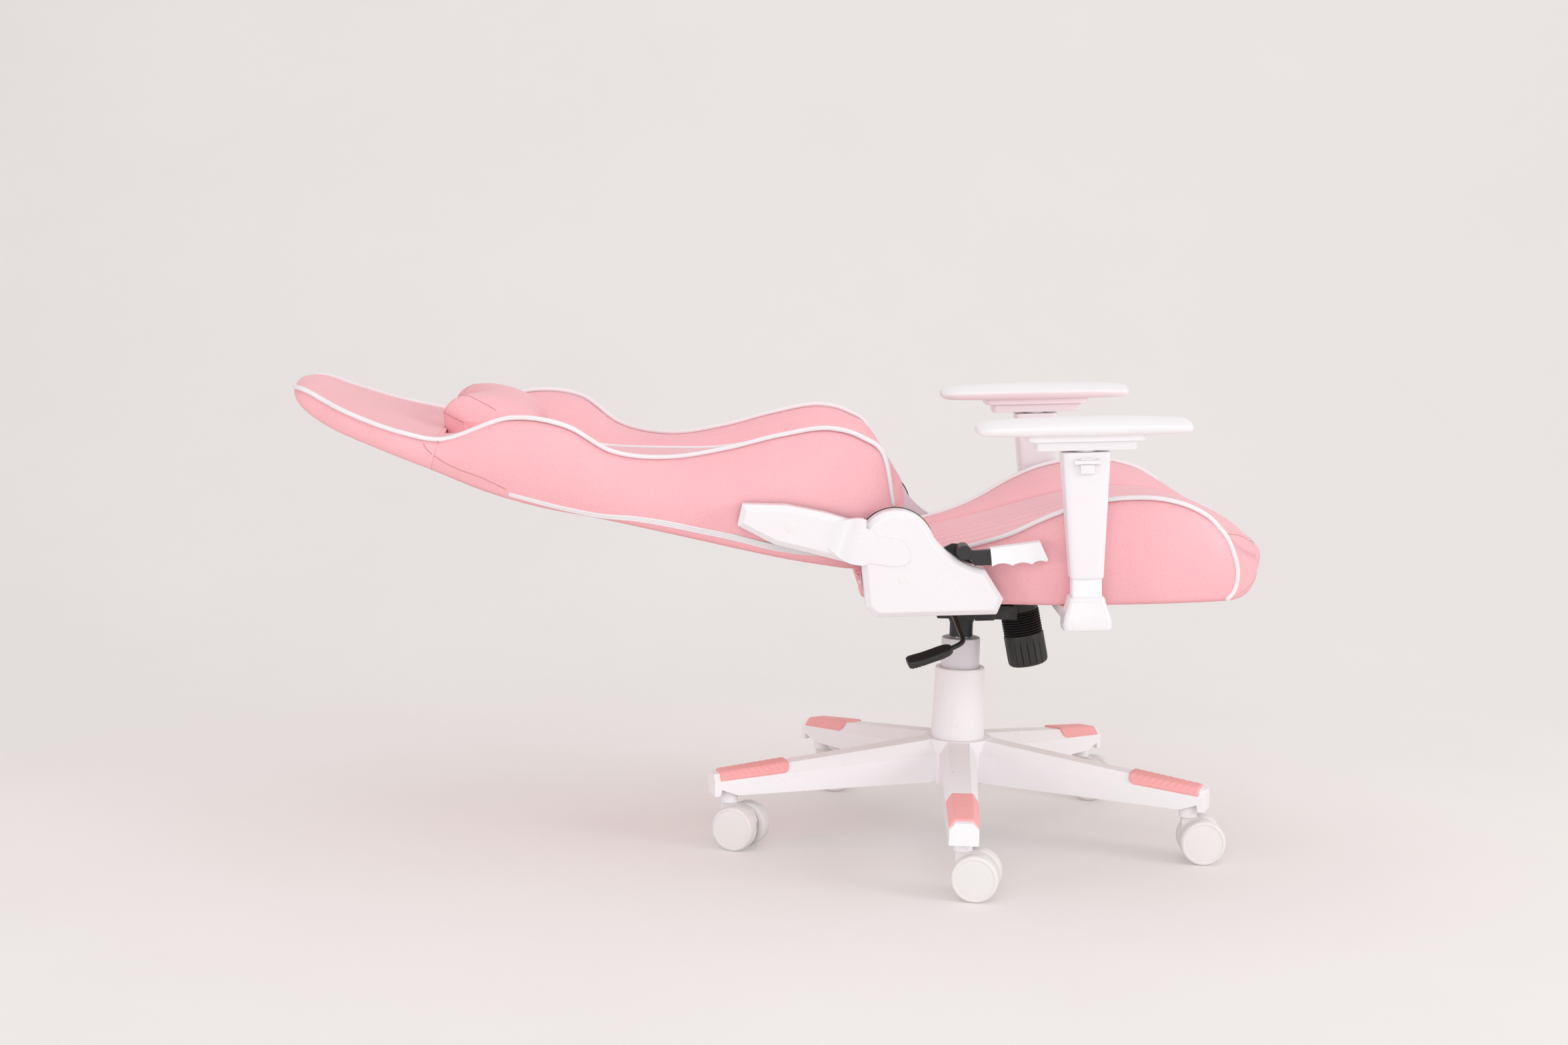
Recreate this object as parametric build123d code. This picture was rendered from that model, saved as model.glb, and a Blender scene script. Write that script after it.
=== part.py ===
"""Reclining gaming chair: star base, gas lift, rocking seat, folding back and adjustable arms."""
import math
import os

from build123d import *

# Fits and gaps, in millimetres
run_fit = 0.05
fixed_fit = 0.02
slide_gap = 0.3
body_gap = 1.0
wall = 3.0

# Seat frame: underside height at the column and backward lean
seat_height = 355.0
seat_tilt = 2.6
hinge_along = -106.5
hinge_up = 83.0
back_rise = 15.5

# Star base
leg_count = 5
leg_turn = -93.53
leg_root = 20.0
leg_past_caster = 25.0
leg_root_half = 26.0
leg_tip_half = 19.0
leg_flat_ratio = 0.58
leg_root_top = 142.5
leg_tip_top = 101.0
leg_root_bottom = 83.0
leg_tip_bottom = 72.0
leg_shoulder = 0.66
leg_wall = 5.0
hub_radius = 46.0
hub_bottom = 80.0
hub_top = 140.0
pad_short = 8.0
leg_pad_length = 96.0
pad_thick = 2.4

# Casters
caster_circle = 325.0
boss_bottom = 61.0
boss_radius = 12.0
stem_radius = 5.5
stem_depth = 32.0
wheel_radius = 30.0
wheel_width = 20.0
caster_web = 17.0
caster_trail = 19.0
axle_radius = 4.0
caster_headings = (-12.0, -2.0, -20.0, 0.0, -28.0)

# Gas lift and its covers
column_radius = 25.0
column_short = 43.0
piston_radius = 14.0
piston_neck = 13.0
piston_bottom = 136.0
upper_cover_rise = 38.0
upper_cover_room = 2.0
upper_cover_wall = 1.1
cover_gap = 0.4
lower_cover_lip = 2.0
lower_cover_foot = 36.5
lower_cover_head = 32.5
lower_cover_wall = 2.5

# Tilt mechanism
socket_length = 32.0
socket_neck = 16.0
socket_flange = 22.0
socket_taper = 14.0
housing_drop = 24.0
housing_depth = 18.0
housing_rear = -38.0
housing_front = 70.0
housing_half = 55.0
housing_wall = 4.0
rock_pin_x = 25.0
rock_pin_drop = 8.0
rock_pin_radius = 5.0
lug_thick = 5.0
bellows_x = 79.0
bellows_rise = 5.0
bellows_lean = 12.0
bellows_radius = 27.0
bellows_rib = 2.6
bellows_length = 31.5
bellows_count = 9
knob_length = 45.0
knob_radius = 27.5
knob_flutes = 18
stud_radius = 6.0
lever_x = -20.0
lever_drop = 7.5
lever_rod = 3.4
bush_half = 7.0

# Seat soft parts: half width of the centre panel and of the widest bolster
seat_panel_half = 118.0
seat_half = 241.0
seat_side_gap = 7.0
seat_crown = 6.0
seat_channels = 7
channel_rise = 1.6
pan_thick = 12.0
pan_half = 186.0
pan_rear = -120.0
pan_front = 300.0

# Back soft parts
back_panel_half = 112.0
back_half = 205.0
back_crown = 5.0
neck_along = 600.0

# Recliner stack, outward from the side of the back
arm_plate = 5.0
side_plate = 5.0
hinge_pin = 8.0
hinge_head = 50.0
cover_depth = 33.0
arm_cover_depth = 27.0
cover_bevel = 7.0

# Recline lever
lever_pivot_along = -20.0
lever_pivot_up = 77.0
lever_pin = 5.0
lever_hub = 9.3

# Armrests
arm_along = 133.0
sleeve_low = 44.5
sleeve_top = 206.3
sleeve_low_length = 42.5
sleeve_top_length = 62.5
sleeve_low_width = 38.0
sleeve_top_width = 42.0
post_length = 38.0
post_width = 30.0
post_top = 150.0
foot_low = -23.0
foot_top = 20.0
foot_length = 65.0
foot_width = 50.0
head_length = 128.0
head_width = 44.0
head_thick = 11.0
rail_length = 149.0
rail_width = 56.0
rail_thick = 8.7
pad_length = 267.0
pad_half = 45.0
pad_rise = 21.5

# Values that follow from the sizes above
housing_top = seat_height - housing_drop
housing_bottom = housing_top - housing_depth
socket_bottom = housing_bottom - socket_length
rock_pin_z = housing_top - rock_pin_drop
bellows_z = housing_bottom + bellows_rise
lever_z = housing_top - lever_drop
upper_cover_top = socket_bottom - upper_cover_room
upper_cover_low = hub_top + upper_cover_rise
column_top = upper_cover_top - column_short
lower_cover_top = column_top + lower_cover_lip
leg_tip = caster_circle + leg_past_caster
pad_end = leg_tip - pad_short
pad_start = pad_end - leg_pad_length
tilt = math.radians(seat_tilt)
hinge_x = hinge_along * math.cos(tilt) - hinge_up * math.sin(tilt)
hinge_z = seat_height + hinge_along * math.sin(tilt) + hinge_up * math.cos(tilt)
rise = math.radians(back_rise)
seat_plane = Plane((0, 0, seat_height), x_dir=(math.cos(tilt), 0, math.sin(tilt)),
                   z_dir=(-math.sin(tilt), 0, math.cos(tilt)))
back_plane = Plane((hinge_x, 0, hinge_z), x_dir=(-math.cos(rise), 0, math.sin(rise)),
                   z_dir=(math.sin(rise), 0, math.cos(rise)))
lean = math.radians(bellows_lean)
knob_plane = Plane((bellows_x, 0, bellows_z), x_dir=(math.cos(lean), 0, math.sin(lean)),
                   z_dir=(-math.sin(lean), 0, math.cos(lean)))
arm_plate_in = back_half + body_gap
arm_plate_out = arm_plate_in + arm_plate
side_plate_in = arm_plate_out + body_gap
side_plate_out = side_plate_in + side_plate
seat_rear_half = side_plate_in - seat_side_gap
cover_out = side_plate_out + cover_depth
arm_y = seat_half + 4.0 + sleeve_top_width / 2
head_low = sleeve_top + 2.7
head_top = head_low + head_thick
rail_low = head_top + slide_gap
rail_top = rail_low + rail_thick


def block(x0, x1, y0, y1, z0, z1):
    """Return an upright block from its six limits."""
    return Pos((x0 + x1) / 2, (y0 + y1) / 2, (z0 + z1) / 2) * Box(x1 - x0, y1 - y0, z1 - z0)


def upright(radius, z0, z1, x=0.0, y=0.0):
    """Return a vertical cylinder between two heights."""
    return Pos(x, y, (z0 + z1) / 2) * Cylinder(radius, z1 - z0)


def across(radius, y0, y1, x=0.0, z=0.0):
    """Return a cylinder that lies along Y between two limits."""
    return Pos(x, (y0 + y1) / 2, z) * Rot(90, 0, 0) * Cylinder(radius, y1 - y0)


def along(radius, x0, x1, y=0.0, z=0.0):
    """Return a cylinder that lies along X between two limits."""
    return Pos((x0 + x1) / 2, y, z) * Rot(0, 90, 0) * Cylinder(radius, x1 - x0)


def prism(points, y0, y1):
    """Return a polygon of (x, z) points drawn out along Y."""
    wire = Wire.make_polygon([(x, y0, z) for x, z in points], close=True)
    return Solid.extrude(Face(wire), Vector(0, y1 - y0, 0))


def ruled(rings):
    """Return a straight-sided loft through closed point rings."""
    return Solid.make_loft([Wire.make_polygon(ring, close=True) for ring in rings], True)


def closed(edges):
    """Return one closed wire from edges in order."""
    return Wire(edges)


def soft(wires, straight=False):
    """Return a loft through closed wires, smooth or straight from one to the next."""
    return Solid.make_loft(wires, straight)


def flip(shape):
    """Return the shape mirrored to the other side of the chair."""
    return mirror(shape, about=Plane.XZ)


def turned(shape, index):
    """Return the shape turned to one leg of the base."""
    return Rot(0, 0, leg_turn + index * 360.0 / leg_count) * shape


# Base
def leg_ring(r, inset=0.0):
    """Return the roof-shaped leg outline at one radius."""
    f = (r - leg_root) / (leg_tip - leg_root)
    half = leg_root_half + f * (leg_tip_half - leg_root_half) - inset
    top = leg_root_top + f * (leg_tip_top - leg_root_top) - inset
    low = leg_root_bottom + f * (leg_tip_bottom - leg_root_bottom)
    if inset:
        low = low - 2 * inset
    full = leg_root_top + f * (leg_tip_top - leg_root_top)
    foot = leg_root_bottom + f * (leg_tip_bottom - leg_root_bottom)
    shoulder = foot + leg_shoulder * (full - foot) - inset
    flat = half * leg_flat_ratio
    return [(r, -half, low), (r, -half, shoulder), (r, -flat, top),
            (r, flat, top), (r, half, shoulder), (r, half, low)]


def pad_ring(r):
    """Return the outline of a leg pad that lies on the leg's roof at one radius."""
    base = [(x, y, z + fixed_fit) for x, y, z in leg_ring(r)]
    left, peak_l, peak_r, right = base[1], base[2], base[3], base[4]
    f = 0.92
    low_l = (r, peak_l[1] + f * (left[1] - peak_l[1]), peak_l[2] + f * (left[2] - peak_l[2]))
    low_r = (r, -low_l[1], low_l[2])
    side = pad_thick * 0.5
    return [low_l, peak_l, peak_r, low_r, (r, low_r[1] + side, low_r[2] + pad_thick),
            (r, peak_r[1] + side, peak_r[2] + pad_thick), (r, peak_l[1] - side, peak_l[2] + pad_thick),
            (r, low_l[1] - side, low_l[2] + pad_thick)]


def leg_height(r):
    """Return the height of the leg's roof at one radius."""
    return leg_ring(r)[2][2]


def make_star_base():
    """Return the hollow five-leg base with its hub and caster bosses."""
    stem_top = boss_bottom + stem_depth
    leg = ruled([leg_ring(leg_root), leg_ring(leg_tip)])
    hollow = ruled([leg_ring(hub_radius + 2, leg_wall), leg_ring(leg_tip - leg_wall, leg_wall)])
    notch = prism([(caster_circle - 27, leg_tip_bottom - 6), (caster_circle + 15, leg_tip_bottom + 9),
                   (caster_circle + 18, leg_tip_bottom - 6)], -40, 40)
    boss = upright(boss_radius, boss_bottom, leg_height(caster_circle + boss_radius) - 1.0, caster_circle)
    hole = upright(stem_radius + run_fit, boss_bottom - 1, stem_top + body_gap, caster_circle)
    one = leg - hollow - notch + boss - hole
    hub = upright(hub_radius, hub_bottom, hub_top)
    body = hub
    for index in range(leg_count):
        body = body + turned(one, index)
    bore = upright(column_radius + fixed_fit, hub_bottom + wall + 1, leg_root_top + 5)
    drain = upright(piston_radius, hub_bottom - 1, hub_bottom + wall + 2)
    crown = upright(hub_radius + leg_root_half, hub_top, leg_root_top + 10)
    return body - crown - bore - drain


def make_leg_pads():
    """Return the five soft pads that cap the leg ends."""
    pad = ruled([pad_ring(pad_start), pad_ring(pad_end)])
    return Compound(children=[turned(pad, index) for index in range(leg_count)])


def make_gas_column():
    """Return the outer tube of the gas lift."""
    low = hub_bottom + wall + 1
    return upright(column_radius, low, column_top) - upright(piston_radius + run_fit, low + 8, column_top + 1)


def make_gas_piston():
    """Return the piston with the shoulder that carries the upper cover."""
    shoulder = upper_cover_top - 2.0
    top = housing_bottom + housing_wall + 1.0
    return upright(piston_radius, piston_bottom, shoulder) + upright(piston_neck, shoulder, top)


def make_upper_cover():
    """Return the inner telescoping cover that hangs on the piston shoulder."""
    inner = column_radius + cover_gap
    outer = inner + upper_cover_wall
    lid = upper_cover_top - 2.0
    return (upright(outer, upper_cover_low, upper_cover_top) - upright(inner, upper_cover_low - 1, lid)
            - upright(piston_neck + fixed_fit, lid - 1, upper_cover_top + 1))


def make_lower_cover():
    """Return the outer telescoping cover that stands on the hub."""
    height = lower_cover_top - hub_top
    centre = Pos(0, 0, hub_top + height / 2)
    outer = centre * Cone(lower_cover_foot, lower_cover_head, height)
    inner = centre * Cone(lower_cover_foot - lower_cover_wall, lower_cover_head - lower_cover_wall, height)
    lid = upright(lower_cover_head - 0.5, lower_cover_top - wall, lower_cover_top)
    throat = upright(column_radius + 2 * cover_gap + upper_cover_wall, hub_top - 1, lower_cover_top + 1)
    return (outer - inner) + (lid - throat)


# Casters
def caster_place(index):
    """Return the location of one caster's stem on the floor, turned to its heading."""
    a = math.radians(leg_turn + index * 360.0 / leg_count)
    spot = Pos(caster_circle * math.cos(a), caster_circle * math.sin(a), 0)
    return spot * Rot(0, 0, caster_headings[index])


def make_caster_housing(index):
    """Return one caster's web with stem and axle as separate pieces."""
    top = boss_bottom - slide_gap
    half = caster_web / 2
    web = prism([(-half, top), (boss_radius, top), (caster_trail + 14, top - 8),
                 (caster_trail + 21, wheel_radius + 8), (caster_trail + 17, wheel_radius - 10),
                 (caster_trail - 10, wheel_radius - 16), (-half, top - 22)], -half, half)
    collar = upright(half, top - 22, top)
    stem_hole = upright(stem_radius + fixed_fit, top - 14, top + 1)
    axle_hole = across(axle_radius + fixed_fit, -half - 1, half + 1, caster_trail, wheel_radius)
    body = web + collar - stem_hole - axle_hole
    stem = upright(stem_radius, top - 14, boss_bottom + stem_depth)
    reach = half + body_gap + wheel_width - 2
    axle = across(axle_radius, -reach, reach, caster_trail, wheel_radius)
    place = caster_place(index)
    return Compound(children=[place * body, place * stem, place * axle])


def make_caster_wheel(index, side):
    """Return one wheel of a twin caster, with its bore and a dished face."""
    near = caster_web / 2 + body_gap
    wheel = across(wheel_radius, near, near + wheel_width, caster_trail, wheel_radius)
    wheel = fillet(wheel.edges().filter_by(GeomType.CIRCLE), 3.0)
    far = near + wheel_width
    dish = across(wheel_radius - 5, far - 1.2, far + 1, caster_trail, wheel_radius)
    blind = across(axle_radius + run_fit, near - 1, near + wheel_width - 1.6, caster_trail, wheel_radius)
    wheel = wheel - dish - blind
    if side < 0:
        wheel = flip(wheel)
    return caster_place(index) * wheel


# Tilt mechanism
def make_mech_housing():
    """Return the pressed housing with the socket, the spring nose and the lever ears."""
    floor = housing_bottom + housing_wall
    box = block(housing_rear, housing_front, -housing_half, housing_half, housing_bottom, housing_top)
    inside = housing_half - housing_wall
    rear, front = housing_rear + housing_wall, housing_front - housing_wall
    cavity = block(rear, front, -inside, inside, floor, housing_top + 1)
    socket = (upright(socket_neck, socket_bottom, housing_bottom)
              + Pos(0, 0, housing_bottom - socket_taper / 2) * Cone(socket_neck, socket_flange, socket_taper)
              + upright(piston_neck + 5, housing_bottom, floor + 6))
    nose = knob_plane.location * upright(bellows_radius - 1, 0, 14)
    room = knob_plane.location * upright(bellows_radius + body_gap, -bellows_length, 0)
    ears = block(lever_x - bush_half - 4, lever_x - bush_half - slide_gap, -housing_half - 13, -housing_half,
                 lever_z - 6, lever_z + 6)
    ears = ears + block(lever_x + bush_half + slide_gap, lever_x + bush_half + 4, -housing_half - 13,
                        -housing_half, lever_z - 6, lever_z + 6)
    body = box - cavity - room + socket + nose + ears
    bore = upright(piston_neck + run_fit, socket_bottom - 1, floor + 1 + slide_gap)
    pin = across(rock_pin_radius + fixed_fit, -housing_half - 1, housing_half + 1, rock_pin_x, rock_pin_z)
    stud = knob_plane.location * upright(stud_radius + run_fit, -1, 15)
    window = across(lever_rod + 3, -housing_half - 1, -inside + 1, lever_x, lever_z)
    reach = bush_half + 5
    trunnion = along(3 + run_fit, lever_x - reach, lever_x + reach, -housing_half - 7, lever_z)
    return body - bore - pin - stud - window - trunnion


def make_rock_pin():
    """Return the cross pin that the seat rocks on, headed at both ends."""
    reach = housing_half + body_gap + lug_thick + body_gap
    pin = across(rock_pin_radius, -reach, reach, rock_pin_x, rock_pin_z)
    heads = across(rock_pin_radius + 3, reach, reach + 3, rock_pin_x, rock_pin_z)
    heads = heads + flip(heads)
    return pin + heads


def make_bellows():
    """Return the ribbed dust bellows around the tension spring."""
    pitch = bellows_length / bellows_count
    rings = []
    for rib in range(bellows_count):
        top = -rib * pitch
        for step, radius in ((0.02, bellows_radius - bellows_rib), (0.35, bellows_radius),
                             (0.65, bellows_radius), (0.98, bellows_radius - bellows_rib)):
            rings.append(Wire.make_circle(radius, Plane((0, 0, top - step * pitch))))
    body = Solid.make_loft(rings, True)
    return knob_plane.location * (body - upright(bellows_radius - 7, -bellows_length - 1, 1))


def make_tension_spring():
    """Return the spring inside the bellows as a plain sleeve."""
    outer = bellows_radius - 9
    tube = upright(outer, -bellows_length + 2, 0) - upright(stud_radius + 4, -bellows_length, 1)
    return knob_plane.location * tube


def make_tension_knob():
    """Return the fluted knob and its threaded stud."""
    top = -bellows_length - slide_gap
    knob = upright(knob_radius, top - knob_length, top)
    knob = fillet(knob.edges().sort_by(Axis.Z)[0], 6.0)
    for step in range(knob_flutes):
        a = 2 * math.pi * step / knob_flutes
        x, y = (knob_radius + 0.8) * math.cos(a), (knob_radius + 0.8) * math.sin(a)
        knob = knob - upright(2.4, top - knob_length - 1, top - 8, x, y)
    return knob_plane.location * (knob + upright(stud_radius, top - 5, 12))


def make_lever_bush():
    """Return the trunnion bush that lets the lift lever rise and slide."""
    y = -housing_half - 7
    body = block(lever_x - bush_half, lever_x + bush_half, y - 5.5, y + 5.5, lever_z - 6.5, lever_z + 6.5)
    reach = bush_half + 3.5
    pins = along(3, lever_x - reach, lever_x + reach, y, lever_z)
    return body + pins - across(lever_rod + run_fit, y - 9, y + 9, lever_x, lever_z)


def make_lift_lever():
    """Return the bent rod and the paddle of the lift lever."""
    y0, inner = -housing_half, -housing_half + 10
    path = FilletPolyline((lever_x, inner, lever_z), (lever_x, y0 - 60, lever_z),
                          (lever_x + 8, y0 - 112, lever_z - 23), (lever_x - 11, y0 - 125, lever_z - 30),
                          radius=9)
    rod = sweep(Plane((lever_x, inner, lever_z), z_dir=(0, -1, 0)) * Circle(lever_rod), path=path)
    end = Vector(lever_x - 11, y0 - 125, lever_z - 30)
    hold = Plane(end, x_dir=(-0.938, -0.133, -0.322), z_dir=(-0.322, 0, 0.938))
    grip = hold.location * fillet((Pos(29, 0, 0) * Box(62, 22, 10)).edges(), 4.0)
    return rod - grip, grip


# Seat
def bow(p, q, bulge):
    """Return an arc from p to q that bulges to the left of the way from p to q, in the YZ plane."""
    dy, dz = q[1] - p[1], q[2] - p[2]
    size = math.hypot(dy, dz)
    mid = (p[0], (p[1] + q[1]) / 2 - bulge * dz / size, (p[2] + q[2]) / 2 + bulge * dy / size)
    return ThreePointArc(p, mid, q).edge()


def line(p, q):
    """Return a straight edge."""
    return Line(p, q).edge()


def panel_ring(x, low, top, half, crown):
    """Return a centre-panel outline whose top is drawn into stitched channels."""
    count = seat_channels
    edges = [line((x, half, low), (x, -half, low)), line((x, -half, low), (x, -half, top))]
    for step in range(count):
        y0 = -half + 2 * half * step / count
        y1 = -half + 2 * half * (step + 1) / count
        z0 = top + crown * (1 - (y0 / half) ** 2)
        z1 = top + crown * (1 - (y1 / half) ** 2)
        edges.append(bow((x, y0, z0), (x, y1, z1), channel_rise))
    edges.append(line((x, half, top), (x, half, low)))
    return closed(edges)


def side_ring(x, low, inner, panel, crest_y, crest, side_y, foot_y, plump=0):
    """Return a bolster or wing outline on the +Y side: flat inside, padded slope, bowed outer side."""
    a, b = (x, inner, low), (x, inner, panel)
    c, d = (x, crest_y, crest), (x, foot_y, low)
    slope = 0.05 * math.hypot(crest_y - inner, crest - panel) + 0.8 + plump
    middle = (x, side_y, (crest + low) / 2)
    return closed([line(a, b), bow(b, c, slope), ThreePointArc(c, middle, d).edge(), line(d, a)])


# Each row: place along the seat, underside, panel edge, bolster crest, half widths as parts of the rear's
seat_rear_rows = (
    (-150, 14, 24, 28, 0.829, 0.966, 0.917), (-105, 0, 42, 45, 0.839, 0.990, 0.926),
    (-55, 0, 60, 61.5, 0.858, 0.995, 0.937), (0, 0, 72, 75.5, 0.897, 1.000, 0.946),
    (45, 0, 82, 91.5, 0.990, 1.044, 0.985))
# The rows in front of the recliner plates, with half widths as parts of the widest
seat_rows = (
    (85, 0, 92, 111.5, 0.900, 0.954, 0.888), (135, 0, 104, 130, 0.942, 0.988, 0.921),
    (195, 0, 112, 138, 0.954, 1.000, 0.938), (245, 0, 112, 134, 0.954, 1.000, 0.938),
    (285, 0, 106, 119, 0.938, 0.979, 0.921),
    (311, 0, 98, 100, 0.917, 0.950, 0.905), (328, 0, 91, 82, 0.893, 0.925, 0.880),
    (340, 0, 85, 70, 0.845, 0.876, 0.830), (352, 1, 79, 61, 0.775, 0.805, 0.758),
    (363, 4, 72, 54, 0.690, 0.715, 0.676), (372, 9, 65, 49, 0.605, 0.625, 0.595),
    (379, 15, 57, 44, 0.535, 0.548, 0.529))
# Each row of the nose: place along the seat, underside, top, half width as a part of the panel's
panel_nose = ((388, 19, 51, 0.78), (396, 22, 44, 0.54), (402, 26, 38, 0.29))


def seat_sections():
    """Return all rows of the seat with the half widths in millimetres."""
    rear = [row[:4] + tuple(part * seat_rear_half for part in row[4:]) for row in seat_rear_rows]
    front = [row[:4] + tuple(part * seat_half for part in row[4:]) for row in seat_rows]
    return rear + front


def seat_pan_block(grow=0.0):
    """Return the board of the seat pan."""
    return block(pan_rear, pan_front, -pan_half, pan_half, -grow, pan_thick)


def bolt_spots():
    """Return the places of the bolts under the seat as (x, y, depth of the clamped plate)."""
    spots = [(x, y, 5.0) for x in (-55.0, 95.0) for y in (-40.0, 40.0)]
    spots += [(x, y * (pan_half - 26), 6.0) for x in (-95.0, -10.0) for y in (-1, 1)]
    spots += [(arm_along, y * (pan_half - 50), 14.0) for y in (-1, 1)]
    return spots


def make_seat_bolts():
    """Return the bolts that clamp the plates to the seat pan."""
    bolts = []
    for x, y, deep in bolt_spots():
        bolts.append(upright(6.0, -deep - 4.0, -deep, x, y) + upright(3.0, -deep, pan_thick - 3.0, x, y))
    return Compound(children=[seat_plane.location * bolt for bolt in bolts])


def bolt_holes():
    """Return the clearance holes for the bolts as one cutter."""
    return [upright(3.0 + run_fit, -20.0, pan_thick - 2.5, x, y) for x, y, deep in bolt_spots()]


def drilled(shape):
    """Return the shape with the bolt holes cut from it."""
    for hole in bolt_holes():
        shape = shape - hole
    return shape


def make_seat_pan():
    """Return the seat pan."""
    return seat_plane.location * drilled(seat_pan_block())


def make_seat_cushion():
    """Return the channelled centre cushion of the seat with its rounded front."""
    rings = [panel_ring(row[0], row[1], row[2], seat_panel_half, seat_crown) for row in seat_sections()]
    front = [panel_ring(x, low, top, part * seat_panel_half, seat_crown) for x, low, top, part in panel_nose]
    nose = soft(rings[-1:] + front, straight=True)
    beside = block(pan_rear - 100, seat_rows[-1][0], seat_panel_half, seat_half, -1, 200)
    return seat_plane.location * (soft(rings) - beside - flip(beside) - seat_room() + nose)


def make_seat_bolster():
    """Return the +Y bolster of the seat."""
    rings = [side_ring(x, low, seat_panel_half, panel, crest_y, crest, side_y, foot_y)
             for x, low, panel, crest, crest_y, side_y, foot_y in seat_sections()]
    return seat_plane.location * (soft(rings) - seat_room())


def seat_room():
    """Return the room that the seat's soft pieces leave for the pan and for what lies under it."""
    under = block(pan_rear - 100, pan_front + 200, -seat_half - 50, seat_half + 50, -50, 0)
    return seat_pan_block(2.0) + under


def make_tilt_plate():
    """Return the top plate of the mechanism with its two lugs."""
    inner = housing_half + body_gap
    pin_s = (rock_pin_x * math.cos(tilt) + (rock_pin_z - seat_height) * math.sin(tilt))
    pin_t = (rock_pin_z - seat_height) * math.cos(tilt) - rock_pin_x * math.sin(tilt)
    top = block(-72, 112, -inner - lug_thick, inner + lug_thick, -5, 0)
    lug = prism([(pin_s - 26, -1), (pin_s + 26, -1), (pin_s + 13, pin_t - 11), (pin_s - 13, pin_t - 11)],
                inner, inner + lug_thick)
    body = top + lug + flip(lug)
    hole = across(rock_pin_radius + run_fit, -inner - 20, inner + 20, pin_s, pin_t)
    return seat_plane.location * drilled(body - hole)


def hinge_outline(shrink=0.0):
    """Return the outline of the hinge cover in the seat frame, in the XZ plane."""
    x, z = hinge_along, hinge_up
    edges = [Line((x - 44.5, z - 21), (x - 40.5, z - 75)), Line((x - 40.5, z - 75), (x - 27.5, z - 88)),
             Line((x - 27.5, z - 88), (x + 127.5, z - 88)), Line((x + 127.5, z - 88), (x + 136.5, z - 68)),
             Line((x + 136.5, z - 68), (x + 113, z - 29)),
             ThreePointArc((x + 113, z - 29), (x + 71.5, z - 10.5), (x + 46.5, z + 17)),
             Line((x + 46.5, z + 17), (x, z)), Line((x, z), (x - 44.5, z - 21))]
    face = make_face(edges) + Pos(x, z) * Circle(hinge_head)
    if shrink:
        face = offset(face, amount=-shrink)
    return face


def raised(face, y0, y1):
    """Return a flat XY outline stood up in the XZ plane and drawn out towards -Y."""
    solid = extrude(face, amount=y1 - y0)
    return Pos(0, -y0, 0) * Rot(90, 0, 0) * solid


def make_hinge_cover():
    """Return the right hinge cover: a bevelled shell that stands on the recliner plate."""
    shell = raised(hinge_outline(), side_plate_out, cover_out)
    shell = chamfer(shell.faces().sort_by(Axis.Y)[0].edges(), cover_bevel)
    inner = raised(hinge_outline(wall), side_plate_out - 1, cover_out - wall - cover_bevel)
    boss = across(8, -cover_out + wall, -side_plate_out, hinge_along + 8, hinge_up - 38)
    return seat_plane.location * (shell - inner + boss)


def make_recliner_plate(levered):
    """Return a right-hand recliner plate with its seat flange, and the lever's ear if it has one."""
    x, z = hinge_along, hinge_up
    outline = hinge_outline(0.8)
    if levered:
        a, u = lever_pivot_along, lever_pivot_up
        ear = Polyline((a - 32, u - 24), (a - 24, u + 2.5), (a - 13, u + 7.5), (a + 4.5, u + 6.3),
                       (a + 8, u + 1), (a + 8.5, u - 12.5), (a + 20, u - 27), close=True)
        outline = outline + make_face(ear)
    plate = raised(outline, side_plate_in, side_plate_out)
    flange = block(x - 20, x + 118, -side_plate_out + 1, -pan_half + 60, -5.9, 0)
    plate = plate + flange
    hole = across(hinge_pin + fixed_fit, -cover_out, -arm_plate_in, x, z)
    plate = plate - hole
    if levered:
        plate = plate - across(lever_pin + fixed_fit, -cover_out, -arm_plate_in, a, u)
    return seat_plane.location * drilled(plate)


def make_recline_pin():
    """Return the right hinge pin with its head."""
    pin = across(hinge_pin, -side_plate_out, -arm_plate_in, hinge_along, hinge_up)
    head = across(hinge_pin + 5, -side_plate_out - 5, -side_plate_out, hinge_along, hinge_up)
    return seat_plane.location * (pin + head)


def make_lever_pivot():
    """Return the peg that the recline lever turns on."""
    tip = cover_out - wall - slide_gap
    peg = across(lever_pin, -tip, -side_plate_in, lever_pivot_along, lever_pivot_up)
    return seat_plane.location * peg


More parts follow.
